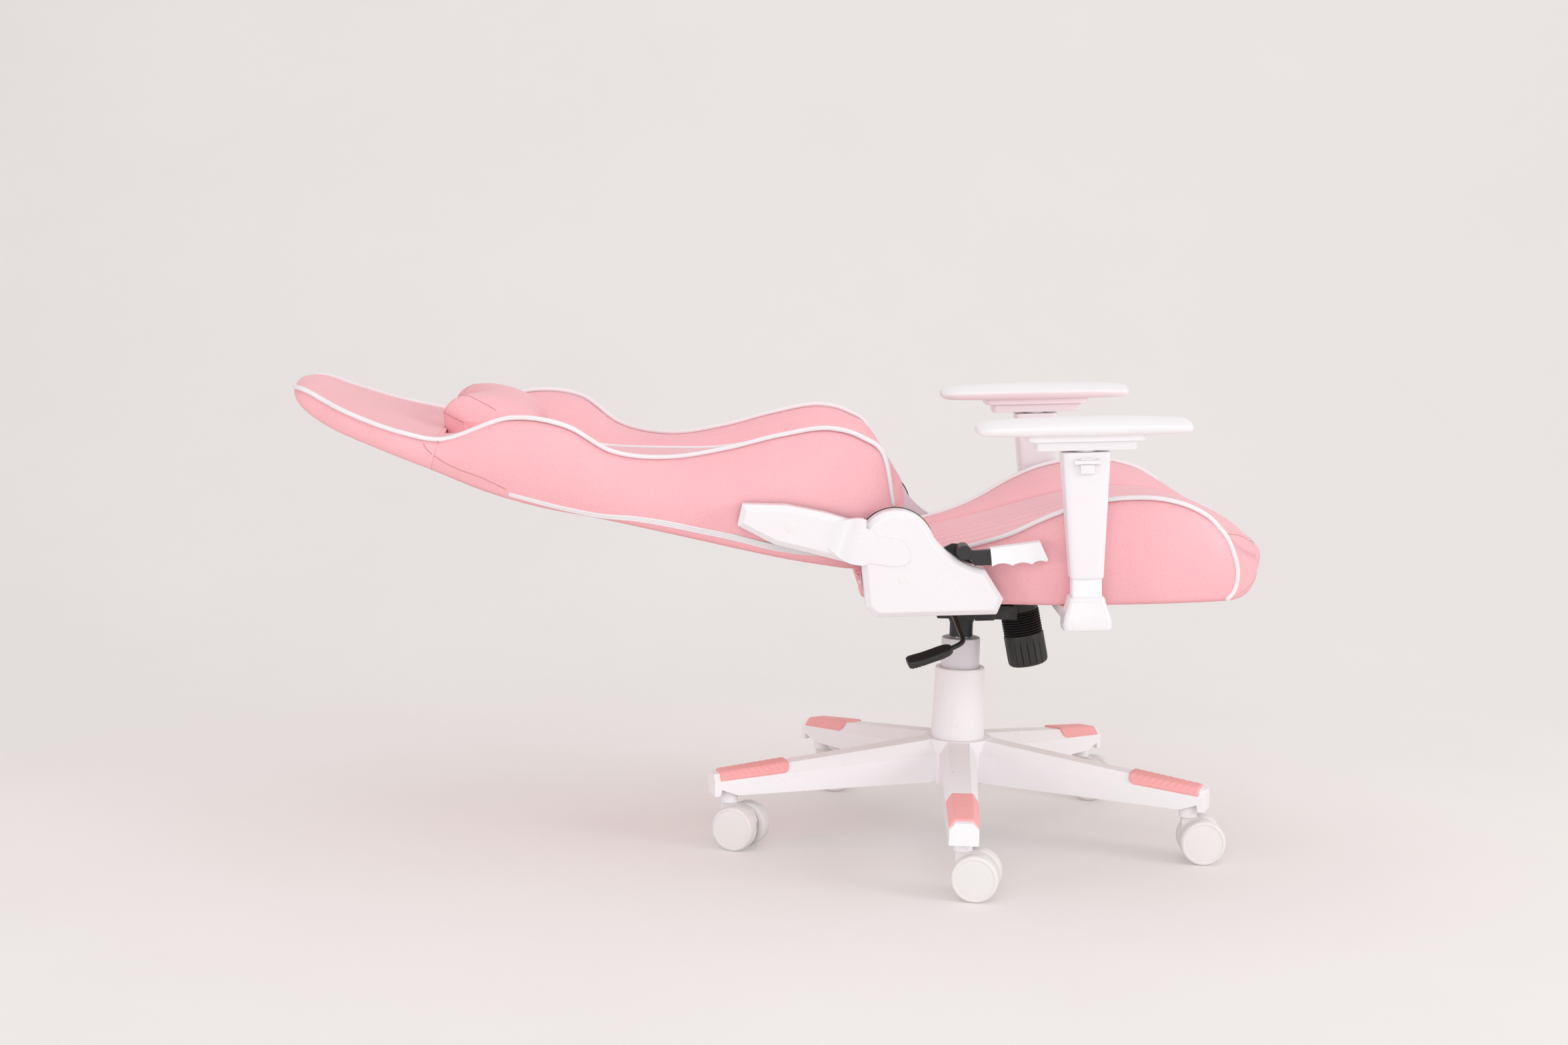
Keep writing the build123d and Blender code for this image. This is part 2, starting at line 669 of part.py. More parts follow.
def make_recline_lever():
    """Return the lever arm and its wavy grip."""
    x, z = lever_pivot_along, lever_pivot_up
    y0 = side_plate_out + body_gap
    hub = across(lever_hub, -cover_out, -y0, x, z)
    bore = across(lever_pin + run_fit, -cover_out + wall, -y0 + 1, x, z)
    mid = cover_out - 6
    bar = prism([(x, z + 7), (x + 11, z + 2), (x + 34, z + 2.8), (x + 34, z - 17), (x + 13, z - 17),
                 (x + 7, z - 9), (x - 2, z - 8.5)], -mid - 5, -mid + 5)
    tang = prism([(x + 30, z + 1), (x + 62, z + 6), (x + 62, z - 5), (x + 30, z - 8)], -mid - 3, -mid + 3)
    lever = hub + bar + tang - bore
    grip_edges = [Line((x + 33, z + 4.7), (x + 97, z + 12.2)), Line((x + 97, z + 12.2), (x + 106.4, z - 9.9)),
                  ThreePointArc((x + 106.4, z - 9.9), (x + 106, z - 12.6), (x + 103.9, z - 13.6)),
                  ThreePointArc((x + 103.9, z - 13.6), (x + 94.5, z - 12.4), (x + 85.9, z - 16.9)),
                  ThreePointArc((x + 85.9, z - 16.9), (x + 74.2, z - 13.9), (x + 61, z - 17.8)),
                  ThreePointArc((x + 61, z - 17.8), (x + 48.7, z - 14.4), (x + 35, z - 18.2)),
                  Line((x + 35, z - 18.2), (x + 33, z + 4.7))]
    grip = raised(make_face(grip_edges), mid - 9, mid + 9)
    grip = grip - lever
    return seat_plane.location * lever, seat_plane.location * grip


# Back
# Each row: place as a part of the neck's, rear, panel edge, wing crest, half widths as parts of the waist
back_rows = (
    (0.0250, -42, 30, 44, 0.893, 0.941, 0.854), (0.0750, -50, 60, 103, 0.927, 0.985, 0.888),
    (0.1333, -55, 75, 118, 0.907, 0.995, 0.907), (0.2000, -60, 74, 117, 0.868, 1.000, 0.917),
    (0.3000, -65, 53, 89, 0.820, 1.000, 0.927), (0.4017, -69, 24, 52, 0.790, 0.995, 0.937),
    (0.5217, -74, 1, 18, 0.800, 0.995, 0.946), (0.6400, -79, -18, 8, 0.941, 1.044, 0.976),
    (0.7500, -84, -30, 26, 1.107, 1.151, 1.044), (0.8667, -86, -37, 14, 1.044, 1.102, 1.005),
    (1.0000, -80, -41, -40, 1.000, 1.029, 0.956))
# Extra rise of the wing's padded slope in the lowest rows
wing_plump = (42, 18, 3)
# Each row of the head: place past the neck, rear, front, half width of the piping as a part of the waist
head_rows = ((0, -80, -40, 1.000), (50, -77, -45, 0.961), (105, -75, -46, 0.834), (137, -73, -44, 0.756),
             (165, -69, -41, 0.654), (185, -63, -38, 0.595), (197, -57, -38, 0.545), (205, -52, -40, 0.465),
             (211, -49, -43, 0.330))


def back_bars():
    """Return the steel frame of the back: two rails and two cross bars."""
    rail = prism([(40, -15), (40, -27), (neck_along - 10, -66), (neck_along - 10, -54)],
                 back_panel_half + 18, back_panel_half + 42)
    foot = block(58, 82, -arm_plate_in, arm_plate_in, -29, -17)
    top = block(neck_along - 40, neck_along - 16, -back_panel_half - 40, back_panel_half + 40, -64.5, -52.5)
    return rail + flip(rail) + foot + top


def make_back_cushion():
    """Return the channelled centre cushion of the back."""
    rings = [panel_ring(row[0] * neck_along, row[1], row[2], back_panel_half, back_crown)
             for row in back_rows]
    return back_plane.location * (soft(rings) - back_bars())


def make_back_wing():
    """Return the wing on the +Y side of the back's own frame."""
    half = back_half
    plump = wing_plump + (0,) * (len(back_rows) - len(wing_plump))
    rings = [side_ring(x * neck_along, low, back_panel_half, panel, c * half, crest, s * half, f * half, more)
             for (x, low, panel, crest, c, s, f), more in zip(back_rows, plump)]
    return soft(rings) - back_bars()


def make_head_cushion():
    """Return the head section above the neck seam."""
    rings = []
    for x, rear, front, width in head_rows:
        u, half = neck_along + x, width * back_half
        foot = half - 8
        side = 0.28 * (front - rear)
        rings.append(closed([bow((u, foot, rear), (u, -foot, rear), 3.0),
                             bow((u, -foot, rear), (u, -half, front), side),
                             bow((u, -half, front), (u, half, front), 9.0),
                             bow((u, half, front), (u, foot, rear), side)]))
    return back_plane.location * soft(rings, straight=True)


def make_pillow():
    """Return the bow-shaped neck pillow, laid on the panel and the head section."""
    half_rows = ((0, -3, -118, 50, 20), (45, 2, -120, 47, 19), (86, 10, -122, 38, 17), (104, 4, -118, 26, 14),
                 (122, -17, -108, 8, 10))
    rows = [(-row[0],) + row[1:] for row in half_rows[:0:-1]] + list(half_rows)
    rings = []
    for y, over, under, front, rear in rows:
        top, low = neck_along + over, neck_along + under
        p, q, seam = (low, y, -22.0), (top, y, -22.0), (low + top) / 2
        rings.append(closed([ThreePointArc(p, (seam - 6, y, -22.0 + front), q).edge(),
                             ThreePointArc(q, (seam, y, -22.0 - rear * 0.5), p).edge()]))
    return soft(rings)


def back_arm_outline(inset):
    """Return the outline of a back arm in the back's own frame."""
    points = ((0, 17 - inset), (99, 17 - inset), (150, 12 - inset), (205 - inset, -3 - inset / 2),
              (203 - inset, -31 + inset / 2), (150, -41 + inset), (117, -39 + inset), (0, -34 + inset))
    return make_face(Polyline(*points, close=True))


def make_back_arm():
    """Return the steel arm that carries the back on the hinge pin, on the +Y side of the back's own frame."""
    outline = back_arm_outline(1.0) + Circle(34)
    plate = Rot(90, 0, 0) * extrude(outline, amount=arm_plate)
    plate = Pos(0, arm_plate_out, 0) * plate
    return plate - across(hinge_pin + run_fit, 0, 2 * arm_plate_out)


def make_back_arm_cover():
    """Return the bevelled cover on a back arm, on the +Y side of the back's own frame."""
    ring = Circle(hinge_head + body_gap)
    outer = extrude(back_arm_outline(0.0) - ring, amount=arm_cover_depth)
    outer = chamfer(outer.faces().sort_by(Axis.Z)[-1].edges(), cover_bevel)
    hollow = offset(back_arm_outline(0.0) - ring, amount=-wall - 1.5)
    inner = extrude(hollow, amount=arm_cover_depth - cover_bevel - wall)
    boss = Pos(138, -12.5, (arm_cover_depth - wall) / 2) * Cylinder(7, arm_cover_depth - wall)
    shell = outer - inner + boss
    shell = mirror(shell, about=Plane.XY)
    return Pos(0, arm_plate_out, 0) * Rot(90, 0, 0) * shell


# Armrests, built on the -Y side
def tapered(z0, z1, length0, length1, width0, width1):
    """Return a straight-sided tapered block with cut corners at the arm's place."""
    rings = []
    for z, length, width in ((z0, length0, width0), (z1, length1, width1)):
        a, b, c = length / 2, width / 2, 6.0
        corners = ((-a + c, -b), (a - c, -b), (a, -b + c), (a, b - c), (a - c, b), (-a + c, b), (-a, b - c),
                   (-a, -b + c))
        rings.append([(arm_along + x, -arm_y + y, z) for x, y in corners])
    return ruled(rings)


def make_arm_post():
    """Return the fixed post with its flared foot."""
    foot = tapered(foot_low, foot_top, foot_length, sleeve_low_length, foot_width, sleeve_low_width)
    half, wide = post_length / 2, post_width / 2
    post = block(arm_along - half, arm_along + half, -arm_y - wide, -arm_y + wide, foot_top - 1, post_top)
    return foot + post


def make_arm_bracket():
    """Return the channel that carries the post under the seat pan."""
    half = foot_length / 2 - 5.5
    outer = block(arm_along - half, arm_along + half, -arm_y, -pan_half + 76, -14, -fixed_fit)
    groove = block(arm_along - half + 4, arm_along + half - 4, -arm_y - 1, -pan_half + 77, -15, -4)
    boss = upright(9, -14, -fixed_fit, arm_along, -pan_half + 50)
    return drilled(outer - groove + boss) - make_arm_post()


def make_arm_sleeve():
    """Return the tapered sleeve that slides on the post."""
    body = tapered(sleeve_low, sleeve_top, sleeve_low_length, sleeve_top_length, sleeve_low_width,
                   sleeve_top_width)
    half, wide = post_length / 2 + slide_gap, post_width / 2 + slide_gap
    low, top = sleeve_low - 1, sleeve_top - 8
    cavity = block(arm_along - half, arm_along + half, -arm_y - wide, -arm_y + wide, low, top)
    pivot = upright(6 + run_fit, sleeve_top - 9, sleeve_top + 1, arm_along, -arm_y)
    return body - cavity - pivot


def make_arm_trigger():
    """Return the T-shaped height trigger on the outer face of the sleeve."""
    y0 = -arm_y - sleeve_top_width / 2 - slide_gap
    bar = block(arm_along - 17, arm_along + 17, y0 - 5, y0, sleeve_top - 15, sleeve_top - 9)
    tab = block(arm_along - 9, arm_along + 9, y0 - 4, y0, sleeve_top - 27, sleeve_top - 7)
    return bar + tab


def make_arm_head():
    """Return the turning head with its pivot below and guide stud above."""
    half, wide = head_length / 2, head_width / 2
    box = block(arm_along - half, arm_along + half, -arm_y - wide, -arm_y + wide, head_low, head_top)
    box = fillet(box.edges().filter_by(Axis.Z), 6.0)
    disc = upright(18, sleeve_top + slide_gap, head_low, arm_along, -arm_y)
    pivot = upright(6, sleeve_top - 7, head_low, arm_along, -arm_y)
    stud = upright(6, head_top, head_top + 4, arm_along, -arm_y)
    return box + disc + pivot + stud


def make_arm_pad():
    """Return the slide plate and the crowned pad on it as one moulding."""
    rows = ((0.0, 0.76, 3.0, 0.66), (0.012, 0.84, 2.4, 0.74), (0.04, 0.91, 1.6, 0.82), (0.12, 0.97, 0.8, 0.90),
            (0.30, 1.0, 0.2, 0.97), (0.52, 1.02, 0.0, 1.0), (0.75, 1.0, 0.2, 0.95), (0.90, 0.97, 0.6, 0.86),
            (0.96, 0.91, 1.0, 0.79), (0.988, 0.84, 1.6, 0.74), (1.0, 0.76, 2.4, 0.66))
    x0 = arm_along - 0.508 * pad_length
    rings = []
    for f, width, low, high in rows:
        x, half = x0 + f * pad_length, width * pad_half
        z0, z1 = rail_top - 0.5 + low, rail_top + high * pad_rise
        edge = z0 + 0.55 * (z1 - z0)
        p = [(x, -arm_y - half * 0.8, z0), (x, -arm_y + half * 0.8, z0), (x, -arm_y + half, edge),
             (x, -arm_y - half, edge)]
        rings.append(closed([line(p[0], p[1]), line(p[1], p[2]), ThreePointArc(p[2], (x, -arm_y, z1), p[3]).edge(),
                             line(p[3], p[0])]))
    pad = soft(rings, straight=True)
    half, wide = rail_length / 2, rail_width / 2
    rail = block(arm_along - half, arm_along + half, -arm_y - wide, -arm_y + wide, rail_low, rail_top)
    slot = block(arm_along - 36, arm_along + 36, -arm_y - 6.2, -arm_y + 6.2, rail_low - 1, rail_low + 4.4)
    ends = upright(6.2, rail_low - 1, rail_low + 4.4, arm_along - 36, -arm_y)
    ends = ends + upright(6.2, rail_low - 1, rail_low + 4.4, arm_along + 36, -arm_y)
    return pad + rail - slot - ends


def pair(shape):
    """Return a right-hand piece and its mirror image as two pieces of one node."""
    return Compound(children=[shape, flip(shape)])


def make_nodes():
    """Return every node of the chair by name."""
    nodes = {"star_base": make_star_base(), "leg_pads": make_leg_pads(), "gas_column": make_gas_column(),
             "column_cover_lower": make_lower_cover(), "gas_piston": make_gas_piston(),
             "column_cover_upper": make_upper_cover(), "mech_housing": make_mech_housing(),
             "rock_pin": make_rock_pin(), "spring_bellows": make_bellows(),
             "tension_spring": make_tension_spring(), "tension_knob": make_tension_knob(),
             "lever_bush": make_lever_bush()}
    nodes["lift_lever_rod"], nodes["lift_lever_paddle"] = make_lift_lever()
    nodes["tilt_plate"] = make_tilt_plate()
    nodes["seat_pan"] = make_seat_pan()
    nodes["seat_bolts"] = make_seat_bolts()
    nodes["seat_cushion"] = make_seat_cushion()
    nodes["seat_bolster_left"] = make_seat_bolster()
    nodes["seat_bolster_right"] = flip(nodes["seat_bolster_left"])
    nodes["hinge_cover_right"] = make_hinge_cover()
    nodes["hinge_cover_left"] = flip(nodes["hinge_cover_right"])
    plates = [make_recliner_plate(True), flip(make_recliner_plate(False))]
    nodes["recliner_plates"] = Compound(children=plates)
    pin = make_recline_pin()
    nodes["recline_pins"] = Compound(children=[pin, flip(pin), make_lever_pivot()])
    nodes["recline_lever"], nodes["recline_grip"] = make_recline_lever()
    wing = make_back_wing()
    nodes["back_frame"] = back_plane.location * back_bars()
    nodes["back_cushion"] = make_back_cushion()
    nodes["head_cushion"] = make_head_cushion()
    nodes["back_wing_right"] = back_plane.location * wing
    nodes["back_wing_left"] = flip(nodes["back_wing_right"])
    arm_cover = back_plane.location * make_back_arm_cover()
    nodes["back_arms"] = pair(back_plane.location * make_back_arm())
    nodes["back_arm_cover_right"] = arm_cover
    nodes["back_arm_cover_left"] = flip(arm_cover)
    pillow = back_plane.location * make_pillow()
    nodes["headrest_pillow"] = pillow - nodes["back_cushion"] - nodes["head_cushion"]
    nodes["arm_brackets"] = pair(seat_plane.location * make_arm_bracket())
    nodes["arm_posts"] = pair(seat_plane.location * make_arm_post())
    for name, maker in (("sleeve", make_arm_sleeve), ("trigger", make_arm_trigger), ("head", make_arm_head),
                        ("pad", make_arm_pad)):
        right = seat_plane.location * maker()
        nodes[f"arm_{name}_right"] = right
        nodes[f"arm_{name}_left"] = flip(right)
    for index in range(leg_count):
        nodes[f"caster_{index + 1}_housing"] = make_caster_housing(index)
        nodes[f"caster_{index + 1}_wheel_a"] = make_caster_wheel(index, -1)
        nodes[f"caster_{index + 1}_wheel_b"] = make_caster_wheel(index, 1)
    return nodes


os.makedirs("parts", exist_ok=True)
for node, shape in make_nodes().items():
    export_step(shape, f"parts/{node}.step")
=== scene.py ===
"""Looks of a reclined racing-style chair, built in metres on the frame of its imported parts."""

import logging
import math
from dataclasses import dataclass
from enum import Enum
from typing import Callable, Iterable, Mapping, Optional, Sequence

import bmesh
import bpy
import numpy as np
from mathutils import Matrix, Vector
from mathutils.bvhtree import BVHTree


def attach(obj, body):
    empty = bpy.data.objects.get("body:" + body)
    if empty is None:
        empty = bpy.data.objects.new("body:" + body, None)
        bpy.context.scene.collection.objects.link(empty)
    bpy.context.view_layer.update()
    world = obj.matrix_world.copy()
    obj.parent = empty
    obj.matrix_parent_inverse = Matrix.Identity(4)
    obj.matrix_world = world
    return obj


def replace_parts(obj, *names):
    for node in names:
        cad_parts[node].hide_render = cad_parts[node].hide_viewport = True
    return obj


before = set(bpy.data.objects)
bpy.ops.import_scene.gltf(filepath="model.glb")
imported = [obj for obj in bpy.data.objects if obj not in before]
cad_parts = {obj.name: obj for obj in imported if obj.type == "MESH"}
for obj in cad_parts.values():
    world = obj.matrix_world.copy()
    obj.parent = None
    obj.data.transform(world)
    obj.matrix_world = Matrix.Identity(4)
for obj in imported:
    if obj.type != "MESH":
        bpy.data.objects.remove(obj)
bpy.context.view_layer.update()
MM = 0.001
LOG = logging.getLogger("chair")
Piece = bpy.types.Object
Paint = bpy.types.Material
Tree = bpy.types.NodeTree
Node = bpy.types.Node
Socket = bpy.types.NodeSocket
Rgba = tuple[float, float, float, float]
Shaper = Callable[[np.ndarray, float, float], np.ndarray]


class Side(Enum):
    """A side of the chair, as its sign along Y."""

    RIGHT = -1
    LEFT = 1

    @property
    def word(self) -> str:
        """The side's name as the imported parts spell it."""
        return self.name.lower()


class Body(Enum):
    """The moving bodies that pieces ride on."""

    BASE = "base"
    LIFT = "lift"
    SWIVEL = "swivel"
    SEAT = "seat"
    BACK = "back"
    KNOB = "tension_knob"
    LIFT_LEVER = "lift_lever"
    RECLINE_LEVER = "recline_lever"


@dataclass(frozen=True)
class Slope:
    """A frame tilted about Y: local (along, side, up) millimetres to metres in the row frame."""

    x: float
    z: float
    along: tuple[float, float]
    up: tuple[float, float]

    def world(self, points: Iterable[Sequence[float]]) -> np.ndarray:
        """Return local points in the row frame.

        Args:
            points: Local points in millimetres.

        Returns:
            An array of points in metres.
        """
        p = np.asarray(points, float)
        x = self.x + p[..., 0] * self.along[0] + p[..., 2] * self.up[0]
        z = self.z + p[..., 0] * self.along[1] + p[..., 2] * self.up[1]
        return np.stack([x, p[..., 1], z], axis=-1) * MM

    def local(self, points: np.ndarray) -> np.ndarray:
        """Return row-frame points in metres as local millimetres."""
        p = np.asarray(points, float) / MM
        dx, dz = p[..., 0] - self.x, p[..., 2] - self.z
        return np.stack([dx * self.along[0] + dz * self.along[1], p[..., 1],
                         dx * self.up[0] + dz * self.up[1]], axis=-1)

    def way(self, along: float, side: float, up: float) -> Vector:
        """Return a local direction in the row frame."""
        return Vector((along * self.along[0] + up * self.up[0], side,
                       along * self.along[1] + up * self.up[1]))


def tilted(x: float, z: float, degrees: float, backwards: bool = False) -> Slope:
    """Return a tilted frame.

    Args:
        x: Place of its origin along X in millimetres.
        z: Height of its origin in millimetres.
        degrees: Rise of its first axis.
        backwards: True if the first axis points to the rear.

    Returns:
        The frame.
    """
    c, s = math.cos(math.radians(degrees)), math.sin(math.radians(degrees))
    if backwards:
        return Slope(x, z, (-c, s), (s, c))
    return Slope(x, z, (c, s), (-s, c))


SEAT = tilted(0.0, 355.0, 2.6)
BACK = tilted(-110.16, 433.08, 15.5, backwards=True)
KNOB = tilted(79.0, 318.0, 12.0)
LEG_TURN = -93.53


# Curves and meshes

def flow(rows: Sequence[Sequence[float]], step: float) -> np.ndarray:
    """Return smooth in-between rows, keyed by the first column.

    Args:
        rows: The measured rows.
        step: Spacing of the new rows.

    Returns:
        The new rows.
    """
    table = np.array(rows, float)
    x, y = table[:, 0], table[:, 1:]
    h = np.diff(x)
    d = np.diff(y, axis=0) / h[:, None]
    m = np.empty_like(y)
    m[1:-1] = (h[1:, None] * d[:-1] + h[:-1, None] * d[1:]) / (h[1:] + h[:-1])[:, None]
    m[0], m[-1] = d[0], d[-1]
    xs = np.linspace(x[0], x[-1], max(2, round((x[-1] - x[0]) / step) + 1))
    i = np.clip(np.searchsorted(x, xs, side="right") - 1, 0, len(h) - 1)
    t, w = ((xs - x[i]) / h[i])[:, None], h[i][:, None]
    ys = ((2 * t**3 - 3 * t**2 + 1) * y[i] + (t**3 - 2 * t**2 + t) * w * m[i]
          + (3 * t**2 - 2 * t**3) * y[i + 1] + (t**3 - t**2) * w * m[i + 1])
    return np.column_stack([xs, ys])


def even(path: np.ndarray, step: float) -> np.ndarray:
    """Return a path through the same points with even, smooth spacing."""
    p = np.asarray(path, float)
    run = np.concatenate([[0.0], np.cumsum(np.linalg.norm(np.diff(p, axis=0), axis=1))])
    return flow(np.column_stack([run, p]), step)[:, 1:]


def arc(p: Sequence[float], q: Sequence[float], r: Sequence[float], count: int) -> np.ndarray:
    """Return points on the arc from p through q to r, without its end point."""
    (ax, ay), (bx, by), (cx, cy) = p, q, r
    d = 2 * (ax * (by - cy) + bx * (cy - ay) + cx * (ay - by))
    f = np.arange(count) / count
    if abs(d) < 1e-6:
        return np.column_stack([ax + f * (cx - ax), ay + f * (cy - ay)])
    a2, b2, c2 = ax * ax + ay * ay, bx * bx + by * by, cx * cx + cy * cy
    ox = (a2 * (by - cy) + b2 * (cy - ay) + c2 * (ay - by)) / d
    oy = (a2 * (cx - bx) + b2 * (ax - cx) + c2 * (bx - ax)) / d
    a0, a1, a2 = (math.atan2(y - oy, x - ox) for x, y in (p, q, r))
    turn = (a2 - a0) % (2 * math.pi)
    if (a1 - a0) % (2 * math.pi) > turn:
        turn -= 2 * math.pi
    a = a0 + f * turn
    size = math.hypot(ax - ox, ay - oy)
    return np.column_stack([ox + size * np.cos(a), oy + size * np.sin(a)])


def bow(p: Sequence[float], q: Sequence[float], rise: float, count: int) -> np.ndarray:
    """Return points from p to q on an arc that rises to the left, without its end point."""
    dx, dy = q[0] - p[0], q[1] - p[1]
    size = math.hypot(dx, dy)
    mid = ((p[0] + q[0]) / 2 - rise * dy / size, (p[1] + q[1]) / 2 + rise * dx / size)
    return arc(p, mid, q, count)


def linked(name: str, data: bpy.types.ID) -> Piece:
    """Return a new object that carries the data, linked to the scene."""
    made = bpy.data.objects.new(name, data)
    bpy.context.scene.collection.objects.link(made)
    return made


def new_piece(name: str, points: np.ndarray, faces: Sequence[Sequence[int]],
              paints: Sequence[Paint]) -> Piece:
    """Return a mesh object at the origin.

    Args:
        name: The piece's name.
        points: Its points in metres.
        faces: Its faces as point numbers.
        paints: Its materials.

    Returns:
        The object, linked to the scene.
    """
    mesh = bpy.data.meshes.new(name)
    mesh.from_pydata([tuple(p) for p in np.asarray(points, float)], [], [tuple(f) for f in faces])
    for paint in paints:
        mesh.materials.append(paint)
    mesh.shade_smooth()
    return linked(name, mesh)


def volume(points: np.ndarray, faces: Sequence[Sequence[int]]) -> float:
    """Return the signed volume inside the faces."""
    total = 0.0
    for face in faces:
        a = points[face[0]]
        for i in range(1, len(face) - 1):
            total += float(np.dot(a, np.cross(points[face[i]], points[face[i + 1]])))
    return total


def grid_faces(rows: int, ring: int, wrap: bool) -> list[list[int]]:
    """Return the quads of a grid of rows by ring points."""
    last = ring if wrap else ring - 1
    return [[i * ring + j, i * ring + (j + 1) % ring, (i + 1) * ring + (j + 1) % ring, (i + 1) * ring + j]
            for i in range(rows - 1) for j in range(last)]


def skin(name: str, rings: np.ndarray, paints: Sequence[Paint], caps: bool = True) -> Piece:
    """Return a closed skin over rings of points, with outward faces.

    Args:
        name: The piece's name.
        rings: Points in metres, as rows of closed rings.
        paints: Its materials.
        caps: True to close both ends.

    Returns:
        The object.
    """
    rows, ring = rings.shape[:2]
    points = rings.reshape(-1, 3)
    faces = grid_faces(rows, ring, True)
    if caps:
        middle = [rings[0].mean(0), rings[-1].mean(0)]
        points = np.vstack([points, middle])
        base, top = rows * ring, (rows - 1) * ring
        faces += [[(j + 1) % ring, j, base] for j in range(ring)]
        faces += [[top + j, top + (j + 1) % ring, base + 1] for j in range(ring)]
    if volume(points, faces) < 0:
        faces = [face[::-1] for face in faces]
    return new_piece(name, points, faces, paints)


def plain(piece: Piece) -> Piece:
    """Return the piece with its modifiers made part of its mesh."""
    bpy.context.view_layer.update()
    seen = piece.evaluated_get(bpy.context.evaluated_depsgraph_get())
    mesh = bpy.data.meshes.new_from_object(seen, preserve_all_data_layers=True,
                                           depsgraph=bpy.context.evaluated_depsgraph_get())
    piece.modifiers.clear()
    old, piece.data = piece.data, mesh
    bpy.data.meshes.remove(old)
    mesh.name = piece.name
    return piece


def subdivided(piece: Piece, levels: int = 1) -> Piece:
    """Return the piece with a smooth subdivision."""
    more = piece.modifiers.new("Finer", "SUBSURF")
    more.levels = more.render_levels = levels
    return plain(piece)


def fetched(data: bpy.types.bpy_prop_collection, key: str, width: int) -> np.ndarray:
    """Return a field of every item of a mesh's data as rows."""
    found = np.empty(len(data) * width, np.float32)
    data.foreach_get(key, found)
    return found.reshape(-1, width).astype(float)


def coords(piece: Piece) -> np.ndarray:
    """Return a piece's points."""
    return fetched(piece.data.vertices, "co", 3)


def set_coords(piece: Piece, points: np.ndarray) -> None:
    """Move a piece's points."""
    piece.data.vertices.foreach_set("co", np.asarray(points, np.float32).ravel())
    piece.data.update()


def normals(piece: Piece) -> np.ndarray:
    """Return a piece's point normals."""
    return fetched(piece.data.vertex_normals, "vector", 3)


def read(piece: Piece, name: str) -> np.ndarray:
    """Return a point attribute of a piece."""
    return fetched(piece.data.attributes[name].data, "value", 1)[:, 0]


def write(piece: Piece, name: str, values: np.ndarray) -> None:
    """Store a point attribute on a piece."""
    attribute = piece.data.attributes.get(name) or piece.data.attributes.new(name, "FLOAT", "POINT")
    attribute.data.foreach_set("value", np.asarray(values, np.float32))


def mirrored(piece: Piece, name: str) -> Piece:
    """Return a copy of a piece for the other side of the chair."""
    mesh = piece.data.copy()
    mesh.name = name
    mesh.transform(Matrix.Scale(-1, 4, (0, 1, 0)))
    mesh.flip_normals()
    return linked(name, mesh)


def joined(name: str, pieces: Sequence[Piece]) -> Piece:
    """Return one piece made of several, with the first one's materials first."""
    bm = bmesh.new()
    paints: list[Paint] = []
    for piece in pieces:
        start = len(bm.faces)
        bm.from_mesh(piece.data)
        bm.faces.ensure_lookup_table()
        slots = []
        for paint in piece.data.materials:
            if paint not in paints:
                paints.append(paint)
            slots.append(paints.index(paint))
        for face in bm.faces[start:]:
            face.material_index = slots[min(face.material_index, len(slots) - 1)]
    mesh = bpy.data.meshes.new(name)
    bm.to_mesh(mesh)
    bm.free()
    for paint in paints:
        mesh.materials.append(paint)
    for piece in pieces:
        bpy.data.objects.remove(piece)
    return linked(name, mesh)


def tube(name: str, path: np.ndarray, radius: float | np.ndarray, paint: Paint, sides: int = 10) -> Piece:
    """Return a round cord along a path.

    Args:
        name: The piece's name.
        path: Points in metres.
        radius: Its radius in metres, or one radius for each point.
        paint: Its material.
        sides: Faces around it.

    Returns:
        The object.
    """
    p = np.asarray(path, float)
    size = np.broadcast_to(radius, len(p))
    t = np.gradient(p, axis=0)
    t /= np.linalg.norm(t, axis=1)[:, None]
    n = np.cross(t[0], (0.0, 0.0, 1.0) if abs(t[0][2]) < 0.8 else (0.0, 1.0, 0.0))
    rings = []
    for point, way, r in zip(p, t, size):
        n = n - way * np.dot(n, way)
        n /= np.linalg.norm(n)
        b = np.cross(way, n)
        a = np.arange(sides) * 2 * math.pi / sides
        rings.append(point + r * (np.cos(a)[:, None] * n + np.sin(a)[:, None] * b))
    head = rings[0] * 0.35 + p[0] * 0.65 - t[0] * size[0] * 0.7
    tail = rings[-1] * 0.35 + p[-1] * 0.65 + t[-1] * size[-1] * 0.7
    return skin(name, np.array([head] + rings + [tail]), [paint])


def lathe(name: str, profile: Sequence[tuple[float, float]], paint: Paint, place: Matrix, loop: bool = False,
          segments: int = 72, shape: Optional[Shaper] = None) -> Piece:
    """Return a turned piece.

    Args:
        name: The piece's name.
        profile: Points of (radius, height) in millimetres, in order.
        paint: Its material.
        place: The turning axis, as a matrix whose Z is the axis, in metres.
        loop: True if the profile is a closed loop round a hollow.
        segments: Faces around it.
        shape: Gives the radii round one ring from the angles, the radius and the height.

    Returns:
        The object.
    """
    a = np.arange(segments) * 2 * math.pi / segments
    rings = []
    for radius, height in profile:
        r = np.full(segments, max(radius, 0.001)) if shape is None else shape(a, max(radius, 0.001), height)
        rings.append(np.column_stack([r * np.cos(a), r * np.sin(a), np.full(segments, height)]) * MM)
    if loop:
        rings.append(rings[0])
    piece = skin(name, np.array(rings), [paint], caps=not loop)
    bm = bmesh.new()
    bm.from_mesh(piece.data)
    bmesh.ops.remove_doubles(bm, verts=bm.verts, dist=4e-6)
    bmesh.ops.recalc_face_normals(bm, faces=bm.faces)
    bm.to_mesh(piece.data)
    bm.free()
    piece.data.transform(place)
    piece.data.set_sharp_from_angle(angle=math.radians(38))
    return piece


